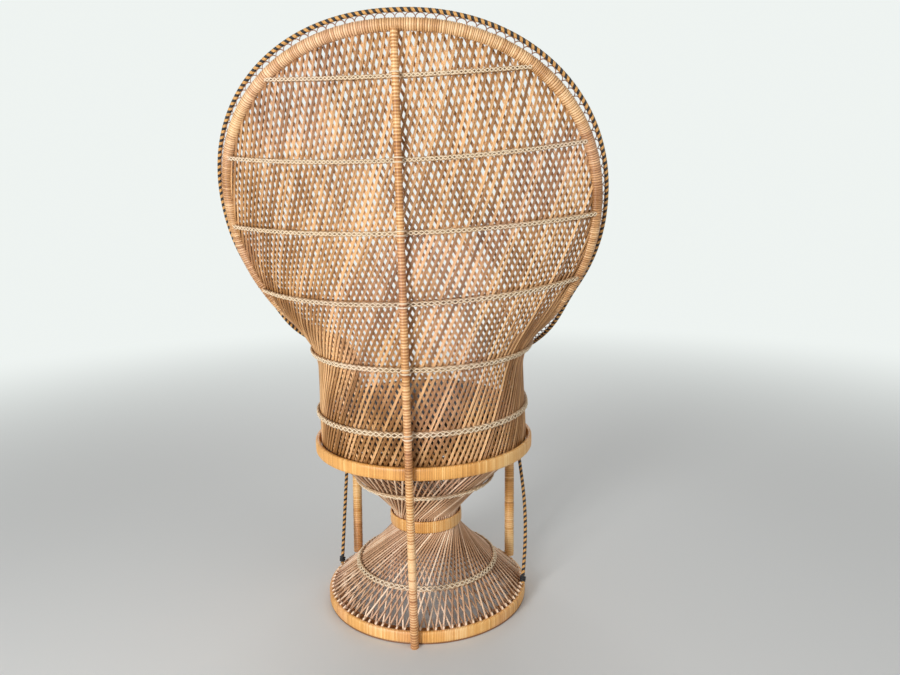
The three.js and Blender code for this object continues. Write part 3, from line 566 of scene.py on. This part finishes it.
def makeHourglass():
    s = hourglassSet
    outer = [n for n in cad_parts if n.startswith("base_outer_strands")]
    for name, layer, lean, stands in (("outer", 1, 1, outer), ("inner", -1, -1, ["base_inner_strands"])):
        even = [(i + 0.5) * 2 * math.pi / s["count"] for i in range(s["count"])]
        angles = [angle + chance.normal(0, s["uneven"]) for angle in even]
        routes = [hourglassRoute(angle, lean, layer) for angle in angles]
        # tones centre on the lowered tint, which carries painted shade from the seat above
        tints = [chance.normal(s["tint"], s["tintSpread"]) for route in routes]
        if layer > 0:
            stubs = [footStub(route) for route in routes]
            routes = routes + stubs
            tints = tints + [s["stubTint"]] * len(stubs)
        mesh = rodMesh("base_" + name + "_reeds", routes, s["reedRadius"], 1, tints=tints)
        dressed("base_" + name + "_reeds", mesh, finishes["reedPale"], stands=stands)
    print("hourglass reeds:", 2 * s["count"])


makeHourglass()


# bands of two twines laid opposite ways, one above the other, that grip the reeds

twineSet = {
    "pitch": 0.0268,
    "row": 0.0028,
    "side": 0.0012,
    "depth": 0.0018,
    "strand": 0.0017,
    "lift": 0.0083,
    "tints": [0.36, 0.14, 0.32, 0.18, 0.86, 0.78],
    "zigzag": {"steps": 16, "reach": 0.0040, "lift": 0.0032, "under": 0.0024, "swell": 0.62},
}


# two thinner, paler strands that cross each other over the twines
def zigzagRoutes(route, across, normal, pitch, wide, closed=False):
    s = twineSet["zigzag"]
    along = lengthsAlong(route)
    turns = along[-1] / pitch
    if closed:
        turns = round(turns)
    swing = np.arcsin(np.sin(2 * math.pi * turns * along / along[-1])) * 2 / math.pi
    side = across * (s["reach"] * wide * swing)[:, None]
    return [route + side + normal * s["lift"], route - side + normal * s["under"]]


def twineSwell(routes):
    thin = twineSet["zigzag"]["swell"]
    return [np.full(len(route), thin if k % 6 > 3 else 1.0) for k, route in enumerate(routes)]


def twineRoutes(route, across, normal, wide, closed=False):
    s = twineSet
    along = lengthsAlong(route)
    turns = along[-1] / s["pitch"]
    if closed:
        turns = round(turns)
    phase = 2 * math.pi * turns * along / along[-1]
    routes = []
    for row in (1, -1):
        for k in range(2):
            swing = row * phase + math.pi * k
            side = wide * (row * s["row"] + s["side"] * np.sin(swing))
            lift = s["depth"] * np.cos(swing)
            routes.append(route + across * side[:, None] + normal * lift[:, None])
    return routes


bandSet = {
    "heights": [0.543, 0.698, 0.849, 1.006, 1.160, 1.331],
    "rises": [0.007, 0.016, 0.029, 0.027, 0.030, 0.012],
    "tilts": [-0.007, -0.002, -0.012, -0.009, -0.010, -0.005],
    "zigzags": [0.0300, 0.0280, 0.0264, 0.0230, 0.0190, 0.0180],
    "wides": [1.4, 1.25, 1.15, 1.05, 1.0, 0.9],
    "past": 0.03,
    "buried": 0.003,
}


def bandRoute(height, rise, tilt, lift, step):
    reach = edgeArc(height + rise)
    arc = np.arange(-reach - bandSet["past"], reach + bandSet["past"], step)
    share = arc / reach
    z = height + rise * share**2 + tilt * share
    normal = shellNormal(arc, z)
    route = shellPoint(arc, z) + normal * lift
    clear = rimDistance(route) > rimSet["radius"] - bandSet["buried"]
    inside = (np.abs(arc) < edgeArc(z)) & clear
    route, normal = route[inside], normal[inside]
    across = unit(np.cross(headings(route), normal))
    return route, across, normal


def makeBands():
    rows = zip(*(bandSet[key] for key in ("heights", "rises", "tilts", "zigzags", "wides")))
    for k, (height, rise, tilt, pitch, wide) in enumerate(rows):
        step = pitch / twineSet["zigzag"]["steps"]
        routes = []
        for lift in (twineSet["lift"], -twineSet["lift"]):  # the twine shows on both sides of the reeds
            route, across, normal = bandRoute(height, rise, tilt, lift, step)
            routes += twineRoutes(route, across, normal, wide)
            routes += zigzagRoutes(route, across, normal * np.sign(lift), pitch, wide)
        name = "back_twine_%d" % (k + 1)
        tints = twineSet["tints"] * 2
        thick = twineSet["strand"] * (1 + wide) / 2
        mesh = rodMesh(name, routes, thick, 1, tints=tints, swell=twineSwell(routes))
        dressed(name, mesh, finishes["braidCream"], stands=["back_band_%d" % (k + 1)])
    print("bands:", len(bandSet["heights"]))


makeBands()

coneBandSet = {
    "lower": {"z": 0.1035, "radius": 0.1880, "slope": -0.85, "zigzag": 0.0290, "wide": 1.4},
    "upper": {"z": 0.3445, "radius": 0.1830, "slope": 0.85, "zigzag": 0.0280, "wide": 1.3},
}


def makeConeBands():
    for name, s in coneBandSet.items():
        turns = round(2 * math.pi * s["radius"] / s["zigzag"])
        count = turns * twineSet["zigzag"]["steps"] + 1
        angle = np.linspace(0, 2 * math.pi, count)
        out = np.column_stack([np.cos(angle), np.sin(angle), np.zeros(count)])
        route = out * s["radius"] + np.array([0, axisY, s["z"]])
        normal = unit(out - np.array([0, 0, 1]) * s["slope"])
        across = unit(np.cross(np.cross([0, 0, 1], out), normal))
        routes = twineRoutes(route, across, normal, s["wide"], closed=True)
        routes += zigzagRoutes(route, across, normal, s["zigzag"], s["wide"], closed=True)
        routes = [r[:-1] for r in routes]
        thick = twineSet["strand"] * (1 + s["wide"]) / 2
        mesh = rodMesh("base_twine_" + name, routes, thick, 1, closed=True,
                       tints=twineSet["tints"], swell=twineSwell(routes))
        stands = ["base_band_" + name]
        dressed("base_twine_" + name, mesh, finishes["braidCream"], stands=stands)
    print("cone bands:", len(coneBandSet))


makeConeBands()


# poles wound with flat cane: each turn is flat, with a groove to the next

# edge and edgeShape set the tint by place in each turn: on the hoop, arms and posts a negative edge darkens
# the groove between turns as painted shade
woundSet = {
    "hoop": {"turn": 0.0050, "radius": 0.0142, "groove": 0.14, "uneven": 0.35, "tone": 0.42,
             "spread": 0.13, "edge": -0.65, "edgeShape": [1.0, 0.35, 0.0, 0.1]},
    "arm": {"turn": 0.0050, "radius": 0.0140, "groove": 0.14, "uneven": 0.35, "tone": 0.42,
            "spread": 0.13, "edge": -0.65, "edgeShape": [1.0, 0.35, 0.0, 0.1]},
    "post": {"turn": 0.0054, "radius": 0.0138, "groove": 0.06, "uneven": 0.2, "tone": 0.38,
             "spread": 0.12, "edge": -0.4, "edgeShape": [1.0, 0.2, 0.0, 0.2]},
    # the spine's positive edge paints a pale line at each groove: the cane's pale edge together with a
    # painted highlight on the turn's edge
    "spine": {"turn": 0.0070, "radius": 0.0105, "groove": 0.06, "uneven": 0.12, "tone": 0.13,
              "spread": 0.12, "edge": 0.5, "edgeShape": [1.0, 0.6, 0.0, 0.2]},
}
windingLook = {
    "grooveShape": [(0.0, 1.0), (0.16, 0.2), (0.5, 0.0), (0.84, 0.2)],  # place in a turn, share of depth
    "swell": 0.012,
    "single": 0.6,
    "drift": 0.8,
    "driftTurns": 22,
    "roundness": 4,
    "spineFoot": 0.0005,
    "spineHead": 0.004,
    "spineRows": 400,
}


def smoothNoise(count, reach):
    rough = chance.normal(0, 1, count + 2 * reach)
    return np.convolve(rough, np.ones(reach) / math.sqrt(reach), "same")[reach : reach + count]


def woundRod(name, points, s, material, stands, taper=None):
    w = windingLook
    lengths = lengthsAlong(points)
    turns = int(round(lengths[-1] / s["turn"]))
    widths = 1 + s["uneven"] * chance.uniform(-1, 1, turns)
    ends = np.concatenate([[0], np.cumsum(widths)]) * lengths[-1] / widths.sum()
    places, depths = np.array(w["grooveShape"]).T
    at = np.append((ends[:-1, None] + np.diff(ends)[:, None] * places).ravel(), lengths[-1])
    depth = np.append(np.tile(depths, turns), 1.0)
    turn = np.append(np.repeat(np.arange(turns), len(places)), turns - 1)
    route = np.column_stack([np.interp(at, lengths, points[:, i]) for i in range(3)])
    swell = 1 - s["groove"] * depth + chance.normal(0, w["swell"], turns)[turn]
    if taper is not None:
        swell = swell * taper(route)
    vary = w["single"] * chance.normal(0, 1, turns) + w["drift"] * smoothNoise(turns, w["driftTurns"])
    tint = s["tone"] + s["spread"] * vary[turn]
    # tint at the grooves: painted shade on the hoop, arms and posts; a pale line with a painted highlight
    # on the spine
    edge = s["edge"] * np.append(np.tile(s["edgeShape"], turns), 1.0)
    mesh = rodMesh(name, [route], s["radius"], w["roundness"], tints=[tint + edge], swell=[swell])
    dressed(name, mesh, material, stands=stands)
    print(name, "turns", turns, "faces", len(mesh.polygons))


def makePoles():
    w = windingLook
    woundRod("hoop_winding", fanWhole, woundSet["hoop"], finishes["wrapDust"], ["fan_hoop"])
    for side, flip in (("left", np.copy), ("right", mirrored)):
        woundRod("arm_winding_" + side, flip(armHalf), woundSet["arm"], finishes["wrapDust"],
                 ["arm_rail_" + side])
        woundRod("post_winding_" + side, flip(postHalf), woundSet["post"], finishes["wrapGold"],
                 ["front_post_" + side])
    z = np.linspace(w["spineFoot"], shellSet["spineTop"] - w["spineHead"], w["spineRows"])
    spine = np.column_stack([np.zeros_like(z), spineLine(z), z])
    woundRod("spine_winding", spine, woundSet["spine"], finishes["wrapSpine"], ["spine_pole"],
             taper=lambda route: spineRadius(route[:, 2]) / shellSet["spineLow"])


makePoles()


# rings wound with narrow cane: a section is spun round, then drawn in between the turns

ringSet = {
    "base_ring": {"inner": 0.2595, "outer": 0.2717, "low": 0.0035, "high": 0.0338,
                  "turn": 0.0042, "groove": 0.0007},
    "seat_ring": {"inner": 0.2765, "outer": 0.2887, "low": 0.4303, "high": 0.4628,
                  "turn": 0.0042, "groove": 0.0007},
    "waist_band": {"inner": 0.0925, "outer": 0.0978, "low": 0.2105, "high": 0.2425,
                   "turn": 0.0052, "groove": 0.0004},
}
ringLook = {
    "points": 18,
    "square": 5,
    "dips": [1.0, 0.3, 0.0, 0.3],
    "tone": 0.42,
    "spread": 0.07,
    "drift": 0.07,
    "driftTurns": 30,
    # darker tint at the dips: painted shade in the grooves between turns
    "dipShade": 0.34,
}
# a thin dark hoop lying on the floor under the base ring: a painted contact shadow
floorShadowSet = {"radius": 0.2675, "thick": 0.0030, "points": 180}


def ringSection(s):
    middle = (s["low"] + s["high"]) / 2
    half = (s["high"] - s["low"]) / 2
    wall = (s["outer"] - s["inner"]) / 2
    centre = (s["outer"] + s["inner"]) / 2
    power = ringLook["square"]
    points = []
    for turn in np.linspace(0, 2 * math.pi, ringLook["points"], endpoint=False):
        c, d = math.cos(turn), math.sin(turn)
        square = 1 / (abs(c) ** power + abs(d) ** power) ** (1 / power)
        points.append((centre + wall * c * square, middle + half * d * square))
    return points


def makeRing(node, s, material):
    look = ringLook
    turns = int(round(2 * math.pi * s["outer"] / s["turn"]))
    rows = len(look["dips"])
    work = bmesh.new()
    section = [work.verts.new((r, 0, z)) for r, z in ringSection(s)]
    edges = [work.edges.new((section[i], section[(i + 1) % len(section)])) for i in range(len(section))]
    bmesh.ops.spin(work, geom=section + edges, cent=(0, 0, 0), axis=(0, 0, 1), angle=2 * math.pi,
                   steps=turns * rows, use_merge=True)
    bmesh.ops.recalc_face_normals(work, faces=work.faces)
    middle = (s["low"] + s["high"]) / 2
    centre = (s["outer"] + s["inner"]) / 2
    tone = look["spread"] * chance.normal(0, 1, turns)
    tone = tone + look["drift"] * smoothNoise(turns, look["driftTurns"])
    tints = []
    for vert in work.verts:
        angle = math.atan2(vert.co.y, vert.co.x) % (2 * math.pi)
        step = int(round(angle / (2 * math.pi) * turns * rows)) % (turns * rows)
        dip = look["dips"][step % rows]
        out = Vector((math.cos(angle), math.sin(angle), 0))
        heart = out * centre + Vector((0, 0, middle))
        away = vert.co - heart
        vert.co = heart + away * (1 - s["groove"] * dip / away.length)
        vert.co.y += axisY
        # the drawn-in dips are tinted darker: painted shade in the grooves between turns
        tints.append(look["tone"] + tone[step // rows] - look["dipShade"] * dip)
    mesh = bpy.data.meshes.new(node + "_winding")
    work.to_mesh(mesh)
    work.free()
    smoothShade(mesh)
    setTint(mesh, tints)
    dressed(node + "_winding", mesh, material, stands=[node])
    print(node, "turns", turns, "faces", len(mesh.polygons))


def makeRings():
    makeRing("base_ring", ringSet["base_ring"], finishes["wrapPale"])
    makeRing("seat_ring", ringSet["seat_ring"], finishes["wrapPale"])
    makeRing("waist_band", ringSet["waist_band"], finishes["wrapGold"])
    # painted contact shadow: a dark hoop where the base ring meets the floor
    floorShadow = levelRing(floorShadowSet["radius"], floorShadowSet["thick"], floorShadowSet["points"])
    mesh = rodMesh("base_painted_shadow_hoop", [floorShadow], floorShadowSet["thick"], 2, closed=True)
    dressed("base_painted_shadow_hoop", mesh, finishes["paintedShadowBrown"])


makeRings()


# rope along the rim, laid from two black and two tan strands, held by loops of twine

ropeSet = {
    "radius": 0.0052,
    "gap": 0.009,
    "strands": 4,
    "strand": 0.0026,
    "helix": 0.0026,
    "lay": 0.0145,
    "step": 0.0018,
    "turned": 0.700,
    "leaves": 0.320,
    "endAngles": {"left": math.radians(104), "right": math.radians(85)},
    "slack": {"left": 0, "right": 0.013},
    "endRadius": 0.2655,
    "endHeight": 0.0375,
    "endPoints": 40,
    "knot": {"turns": 2.5, "points": 40, "half": 0.006, "radius": 0.0062, "back": 0.012},
    "loop": 0.0205,
    "loopRadius": 0.0012,
    "loopSunk": 0.002,
    "loopPast": 0.0005,
    "loopShape": [(0, 0), (0.02, 0.45), (0.2, 0.85), (0.5, 1.0), (0.8, 0.85), (0.98, 0.45), (1, 0)],
}


# away from the pole along the shell on the fan, level with the posts further down
def outwardOf(points, side):
    along = headings(points)
    out = unit(np.column_stack([-along[:, 2], np.zeros(len(along)), along[:, 0]])) * side
    z = points[:, 2]
    beyond = unit(np.cross(along, shellNormal(np.sign(points[:, 0]) * edgeArc(z), z)))
    beyond = beyond * np.sign(np.sum(beyond * out, axis=1))[:, None]
    turned = ease((z - ropeSet["turned"]) / (fanHalf[-1][2] - ropeSet["turned"]))[:, None]
    return unit(out + (beyond - out) * turned)


def ropeRoutes(route):
    s = ropeSet
    route = resampled(route, s["step"])
    along = headings(route)
    first = unit(np.cross(along, np.array([0.03, 1, 0.02])))  # no stretch runs along this direction
    second = np.cross(along, first)
    phase = 2 * math.pi * lengthsAlong(route) / s["lay"]
    routes = []
    for k in range(s["strands"]):
        turn = phase + 2 * math.pi * k / s["strands"]
        routes.append(route + s["helix"] * (first * np.cos(turn)[:, None] + second * np.sin(turn)[:, None]))
    return routes


def lacingLoops(rim, side):
    s = ropeSet
    lengths = lengthsAlong(rim)
    count = int(lengths[-1] / s["loop"])
    near = rimSet["radius"] - s["loopSunk"]
    far = rimSet["radius"] + s["gap"] + s["loopPast"]
    out = outwardOf(rim, side)
    shape = np.array(s["loopShape"])
    routes = []
    for i in range(count):
        at = (i + shape[:, 0]) * lengths[-1] / count
        foot = np.column_stack([np.interp(at, lengths, rim[:, k]) for k in range(3)])
        away = unit(np.column_stack([np.interp(at, lengths, out[:, k]) for k in range(3)]))
        routes.append(foot + away * (near + (far - near) * shape[:, 1:]))
    return routes


def knotRoute(place, along):
    s = ropeSet["knot"]
    turn = np.linspace(0, s["turns"] * 2 * math.pi, s["points"])
    side = unit(np.cross(along, [0, 0, 1]))
    up = np.cross(side, along)
    spread = np.linspace(-s["half"], s["half"], s["points"])[:, None]
    ring = side * np.cos(turn)[:, None] + up * np.sin(turn)[:, None]
    return place + along * spread + ring * s["radius"]


def makeTrim():
    s = ropeSet
    reach = rimSet["radius"] + s["gap"] + s["radius"]
    colours = [finishes["ropeBlack"], finishes["ropeTan"]]
    lower = np.concatenate([armHalf, postHalf[1:]])
    lower = lower[lower[:, 2] > s["leaves"]]
    stretches = [("fan", fanWhole, 1, None)]
    for name, side in (("left", 1), ("right", -1)):
        end = polar(s["endRadius"], side * s["endAngles"][name], s["endHeight"])
        stretches.append((name, lower if side > 0 else mirrored(lower), side, end))
    for name, rim, side, end in stretches:
        route = rim + outwardOf(rim, side) * reach
        knots = []
        if end is not None:
            share = np.linspace(0, 1, s["endPoints"])[1:, None]
            loose = np.array([side * s["slack"][name], 0, 0]) * np.sin(share * math.pi)
            route = np.concatenate([route, route[-1] + (end - route[-1]) * share + loose])
            along = unit(route[-1] - route[-2])
            knots = [knotRoute(route[-1] - along * s["knot"]["back"], along)]
        marks = [0, 0, 1, 1] + [0] * len(knots)
        mesh = rodMesh("rim_rope_" + name, ropeRoutes(route) + knots, s["strand"], 1,
                       marks=marks, materials=colours)
        dressed("rim_rope_" + name, mesh, None, stands=["trim_rope_" + name])
        loops = lacingLoops(rim, side)
        mesh = rodMesh("rim_lacing_" + name, loops, s["loopRadius"], 0)
        dressed("rim_lacing_" + name, mesh, finishes["laceBrown"], stands=["trim_lacing_" + name])
        print("rope", name, "length", round(lengthsAlong(route)[-1], 3), "loops", len(loops))


makeTrim()


# lashings that bind the spine to the bands

lashingSet = {
    "apart": 0.0048,
    "thick": 0.0017,
    "grip": 0.0012,
    "sunk": 0.001,
    "spread": 0.001,
    "narrow": 0.9,
    "points": 15,
    "tints": [0.62, 0.55],
}


def makeLashings():
    s = lashingSet
    for k, height in enumerate(bandSet["heights"]):
        routes = []
        y = spineLine(height)
        grip = spineRadius(height) + s["grip"]
        back = shellPoint(0.0, height)[1] - s["sunk"]
        for side in (-1, 1):
            turn = np.linspace(0, math.pi, s["points"])
            z = height + side * s["apart"]
            rear = np.column_stack([grip * np.cos(turn), y + grip * np.sin(turn), np.full(s["points"], z)])
            x = grip * s["narrow"]
            level = z + side * s["spread"]
            front = np.array([[-x, back, level], [x, back, level]])
            routes.append(np.concatenate([rear, front]))
        name = "spine_tie_%d" % (k + 1)
        mesh = rodMesh(name, routes, s["thick"], 1, closed=True, tints=s["tints"])
        dressed(name, mesh, finishes["braidCream"], stands=["spine_lashing_%d" % (k + 1)])
    print("lashings:", len(bandSet["heights"]))


makeLashings()


# loose round cushion, boxed, with a corded seam above and below

cushionSet = {
    "radius": 0.218,
    "edge": 0.070,
    "crown": 0.013,
    "draw": 0.007,
    "low": 0.4677,
    "cord": 0.003,
    "slack": 0.004,
    "voxel": 0.006,
    "pressure": 4.0,
    "frames": 20,
    "cap": 0.006,
    "quality": 6,
    "seamReach": 0.007,
    "fill": 0.8,
    "spokes": 96,
    "cordPoints": 128,
    "cordOut": 0.001,
}


# the slack cover before it is filled: crowned above, flatter below where it rests
def cushionSection():
    s = cushionSet
    radius = s["radius"] - s["slack"]
    low = s["low"] + s["crown"]
    high = low + s["edge"]
    crownUp = s["crown"] - s["slack"]
    points = []
    for share in np.linspace(0, 1, 14):
        points.append((radius * share, low - crownUp * (1 - share**4) ** 0.5))
    for share in np.linspace(0, 1, 9)[1:-1]:
        points.append((radius - s["draw"] * math.sin(share * math.pi), low + share * s["edge"]))
    for turn in np.linspace(math.pi / 2, 0, 12):
        points.append((radius * math.sin(turn), high + crownUp * math.cos(turn)))
    return points


# fills the cover by a short cloth run with pressure inside; the two seams hold their place
def filled(mesh):
    s = cushionSet
    scene = bpy.context.scene
    holder = bpy.data.objects.new("padCover", mesh)
    scene.collection.objects.link(holder)
    remesh = holder.modifiers.new("even", "REMESH")
    remesh.mode = "VOXEL"
    remesh.voxel_size = s["voxel"]
    graph = bpy.context.evaluated_depsgraph_get()
    even = bpy.data.meshes.new_from_object(holder.evaluated_get(graph))
    bpy.data.objects.remove(holder)
    cover = bpy.data.objects.new("padFilled", even)
    scene.collection.objects.link(cover)
    start = np.empty(len(even.vertices) * 3)
    even.vertices.foreach_get("co", start)
    start = start.reshape(-1, 3)
    seams = np.array([s["low"] + s["crown"], s["low"] + s["crown"] + s["edge"]])
    out = np.hypot(start[:, 0], start[:, 1] - axisY)
    offset = np.abs(start[:, 2:3] - seams).min(axis=1)
    held = (out > s["radius"] - s["slack"] - s["seamReach"]) & (offset < s["seamReach"])
    group = cover.vertex_groups.new(name="seams")
    group.add(np.flatnonzero(held).tolist(), 1.0, "REPLACE")
    cloth = cover.modifiers.new("cloth", "CLOTH")
    cloth.settings.quality = s["quality"]
    cloth.settings.use_pressure = True
    cloth.settings.uniform_pressure_force = s["pressure"]
    cloth.settings.vertex_group_mass = group.name
    cloth.settings.effector_weights.gravity = 0
    cloth.collision_settings.use_collision = False
    cloth.point_cache.frame_start = 1
    cloth.point_cache.frame_end = s["frames"]
    for number in range(1, s["frames"] + 1):
        scene.frame_set(number)
    graph = bpy.context.evaluated_depsgraph_get()
    result = np.empty(start.size)
    cover.evaluated_get(graph).data.vertices.foreach_get("co", result)
    move = result.reshape(-1, 3) - start
    far = np.linalg.norm(move, axis=1, keepdims=True)
    move = move * np.minimum(1, s["cap"] / np.maximum(far, 1e-9))
    end = start + move
    end[:, 2] = np.clip(end[:, 2], s["low"], s["low"] + 2 * s["crown"] + s["edge"])
    even.vertices.foreach_set("co", end.ravel())
    even.update()
    bpy.data.objects.remove(cover)
    scene.frame_set(1)
    print("cushion filled, mean swell mm", round(float(np.linalg.norm(move, axis=1).mean()) * 1000, 2))
    return even


def clothMaterial():
    material, nodes, links, shader = newMaterial("cushionCloth")
    coords = nodes.new("ShaderNodeTexCoord")
    weave = addNode(nodes, "ShaderNodeTexChecker", Scale=700.0)
    fuzz = addNode(nodes, "ShaderNodeTexNoise", Scale=300.0, Detail=5.0)
    links.new(coords.outputs["Object"], weave.inputs["Vector"])
    links.new(coords.outputs["Object"], fuzz.inputs["Vector"])
    ramp = colourRamp(nodes, [(0.3, (0.010, 0.010, 0.013)), (0.75, (0.038, 0.037, 0.045))])
    links.new(fuzz.outputs["Fac"], ramp.inputs["Fac"])
    links.new(ramp.outputs["Color"], shader.inputs["Base Color"])
    shader.inputs["Roughness"].default_value = 0.85
    bump = addNode(nodes, "ShaderNodeBump", Strength=0.3, Distance=0.0004)
    links.new(weave.outputs["Fac"], bump.inputs["Height"])
    links.new(bump.outputs["Normal"], shader.inputs["Normal"])
    return material


def makeCushion():
    s = cushionSet
    work = bmesh.new()
    verts = [work.verts.new((r, 0, z)) for r, z in cushionSection()]
    edges = [work.edges.new(pair) for pair in zip(verts[:-1], verts[1:])]
    bmesh.ops.spin(work, geom=verts + edges, cent=(0, 0, 0), axis=(0, 0, 1), angle=2 * math.pi,
                   steps=s["spokes"], use_merge=True)
    bmesh.ops.remove_doubles(work, verts=work.verts, dist=1e-5)
    bmesh.ops.recalc_face_normals(work, faces=work.faces)
    bmesh.ops.translate(work, vec=(0, axisY, 0), verts=work.verts)
    mesh = bpy.data.meshes.new("seat_pad")
    work.to_mesh(mesh)
    work.free()
    mesh = filled(mesh)
    mesh.name = "seat_pad"
    smoothShade(mesh)
    cloth = clothMaterial()
    pad = dressed("seat_pad", mesh, cloth, body="cushion", stands=["seat_cushion"])
    finer = pad.modifiers.new("finer", "SUBSURF")
    finer.levels = 1
    finer.render_levels = 1
    reach = s["radius"] - s["slack"] + s["cordOut"]
    seams = (s["low"] + s["crown"], s["low"] + s["crown"] + s["edge"])
    routes = [levelRing(reach, z, s["cordPoints"]) for z in seams]
    cords = rodMesh("seat_pad_cords", routes, s["cord"], 2, closed=True)
    dressed("seat_pad_cords", cords, cloth, body="cushion")
    print("cushion made, faces", len(mesh.polygons))


makeCushion()


# carried-over pieces keep their CAD shape and get the cane finish

carriedFinish = {
    "base_clamp_hoop": "wrapGold",
    "seat_clamp_hoop": "wrapGold",
    "seat_bearer_cross": "wrapGold",
    "seat_bearer_long": "wrapGold",
    "seat_deck_lower": "reedPeach",
    "seat_deck_upper": "reedPeach",
}
for node, finish in carriedFinish.items():
    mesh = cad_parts[node].data
    mesh.materials.clear()
    mesh.materials.append(finishes[finish])
print("carried-over nodes dressed")


# floor, light and background

stageSet = {
    "floor": (0.70, 0.71, 0.70),
    "floorRadius": 7,
    "fadeFrom": 1.2,
    "fadeTo": 4.6,
    "sky": (0.86, 0.90, 0.88),
    "ambient": 0.25,
    "aim": (0, 0, 0.7),
    "lights": {
        "keyLight": {"place": (1.6, 3.3, 1.25), "size": 1.0, "power": 112},
        "fillLight": {"place": (-2.2, 1.6, 2.0), "size": 2.2, "power": 20},
        "frontLight": {"place": (0.3, -2.6, 2.6), "size": 2.0, "power": 38},
    },
}


# rays that show the background: the camera's own, and those off gloss or through glass
def seenRays(nodes, links):
    path = nodes.new("ShaderNodeLightPath")
    total = path.outputs["Is Camera Ray"]
    for kind in ("Is Glossy Ray", "Is Transmission Ray"):
        add = addNode(nodes, "ShaderNodeMath", operation="ADD", use_clamp=True)
        links.new(total, add.inputs[0])
        links.new(path.outputs[kind], add.inputs[1])
        total = add.outputs[0]
    return total


def makeStage():
    s = stageSet
    work = bmesh.new()
    bmesh.ops.create_circle(work, cap_ends=True, radius=s["floorRadius"], segments=64)
    mesh = bpy.data.meshes.new("floor")
    work.to_mesh(mesh)
    work.free()
    floor = bpy.data.objects.new("floor", mesh)
    bpy.context.collection.objects.link(floor)
    material, nodes, links, shader = newMaterial("floorPaint")
    shader.inputs["Base Color"].default_value = (*s["floor"], 1)
    shader.inputs["Roughness"].default_value = 0.9
    coords = nodes.new("ShaderNodeTexCoord")
    away = addNode(nodes, "ShaderNodeVectorMath", operation="LENGTH")
    links.new(coords.outputs["Object"], away.inputs[0])
    fade = addNode(nodes, "ShaderNodeMapRange", interpolation_type="SMOOTHSTEP",
                   From_Min=s["fadeFrom"], From_Max=s["fadeTo"])
    links.new(away.outputs["Value"], fade.inputs["Value"])
    seen = addNode(nodes, "ShaderNodeMath", operation="MULTIPLY")
    links.new(fade.outputs["Result"], seen.inputs[0])
    links.new(seenRays(nodes, links), seen.inputs[1])
    far = nodes.new("ShaderNodeEmission")
    far.inputs["Color"].default_value = (*s["sky"], 1)
    blend = nodes.new("ShaderNodeMixShader")
    links.new(seen.outputs[0], blend.inputs[0])
    links.new(shader.outputs[0], blend.inputs[1])
    links.new(far.outputs[0], blend.inputs[2])
    links.new(blend.outputs[0], nodes["Material Output"].inputs["Surface"])
    mesh.materials.append(material)
    world = bpy.data.worlds.new("studio")
    bpy.context.scene.world = world
    world.use_nodes = True
    nodes, links = world.node_tree.nodes, world.node_tree.links
    ground = nodes["Background"]
    ground.inputs["Color"].default_value = (1, 1, 1, 1)
    ground.inputs["Strength"].default_value = s["ambient"]
    backdrop = addNode(nodes, "ShaderNodeBackground", Strength=1.0)
    backdrop.inputs["Color"].default_value = (*s["sky"], 1)
    mix = nodes.new("ShaderNodeMixShader")
    links.new(seenRays(nodes, links), mix.inputs[0])
    links.new(ground.outputs[0], mix.inputs[1])
    links.new(backdrop.outputs[0], mix.inputs[2])
    links.new(mix.outputs[0], nodes["World Output"].inputs["Surface"])
    for name, light in s["lights"].items():
        data = bpy.data.lights.new(name, "AREA")
        data.energy = light["power"]
        data.size = light["size"]
        lamp = bpy.data.objects.new(name, data)
        bpy.context.collection.objects.link(lamp)
        lamp.location = light["place"]
        aim = Vector(s["aim"]) - Vector(light["place"])
        lamp.rotation_euler = aim.to_track_quat("-Z", "Y").to_euler()


makeStage()
bpy.context.scene.view_settings.view_transform = "Standard"
print("stage lit")
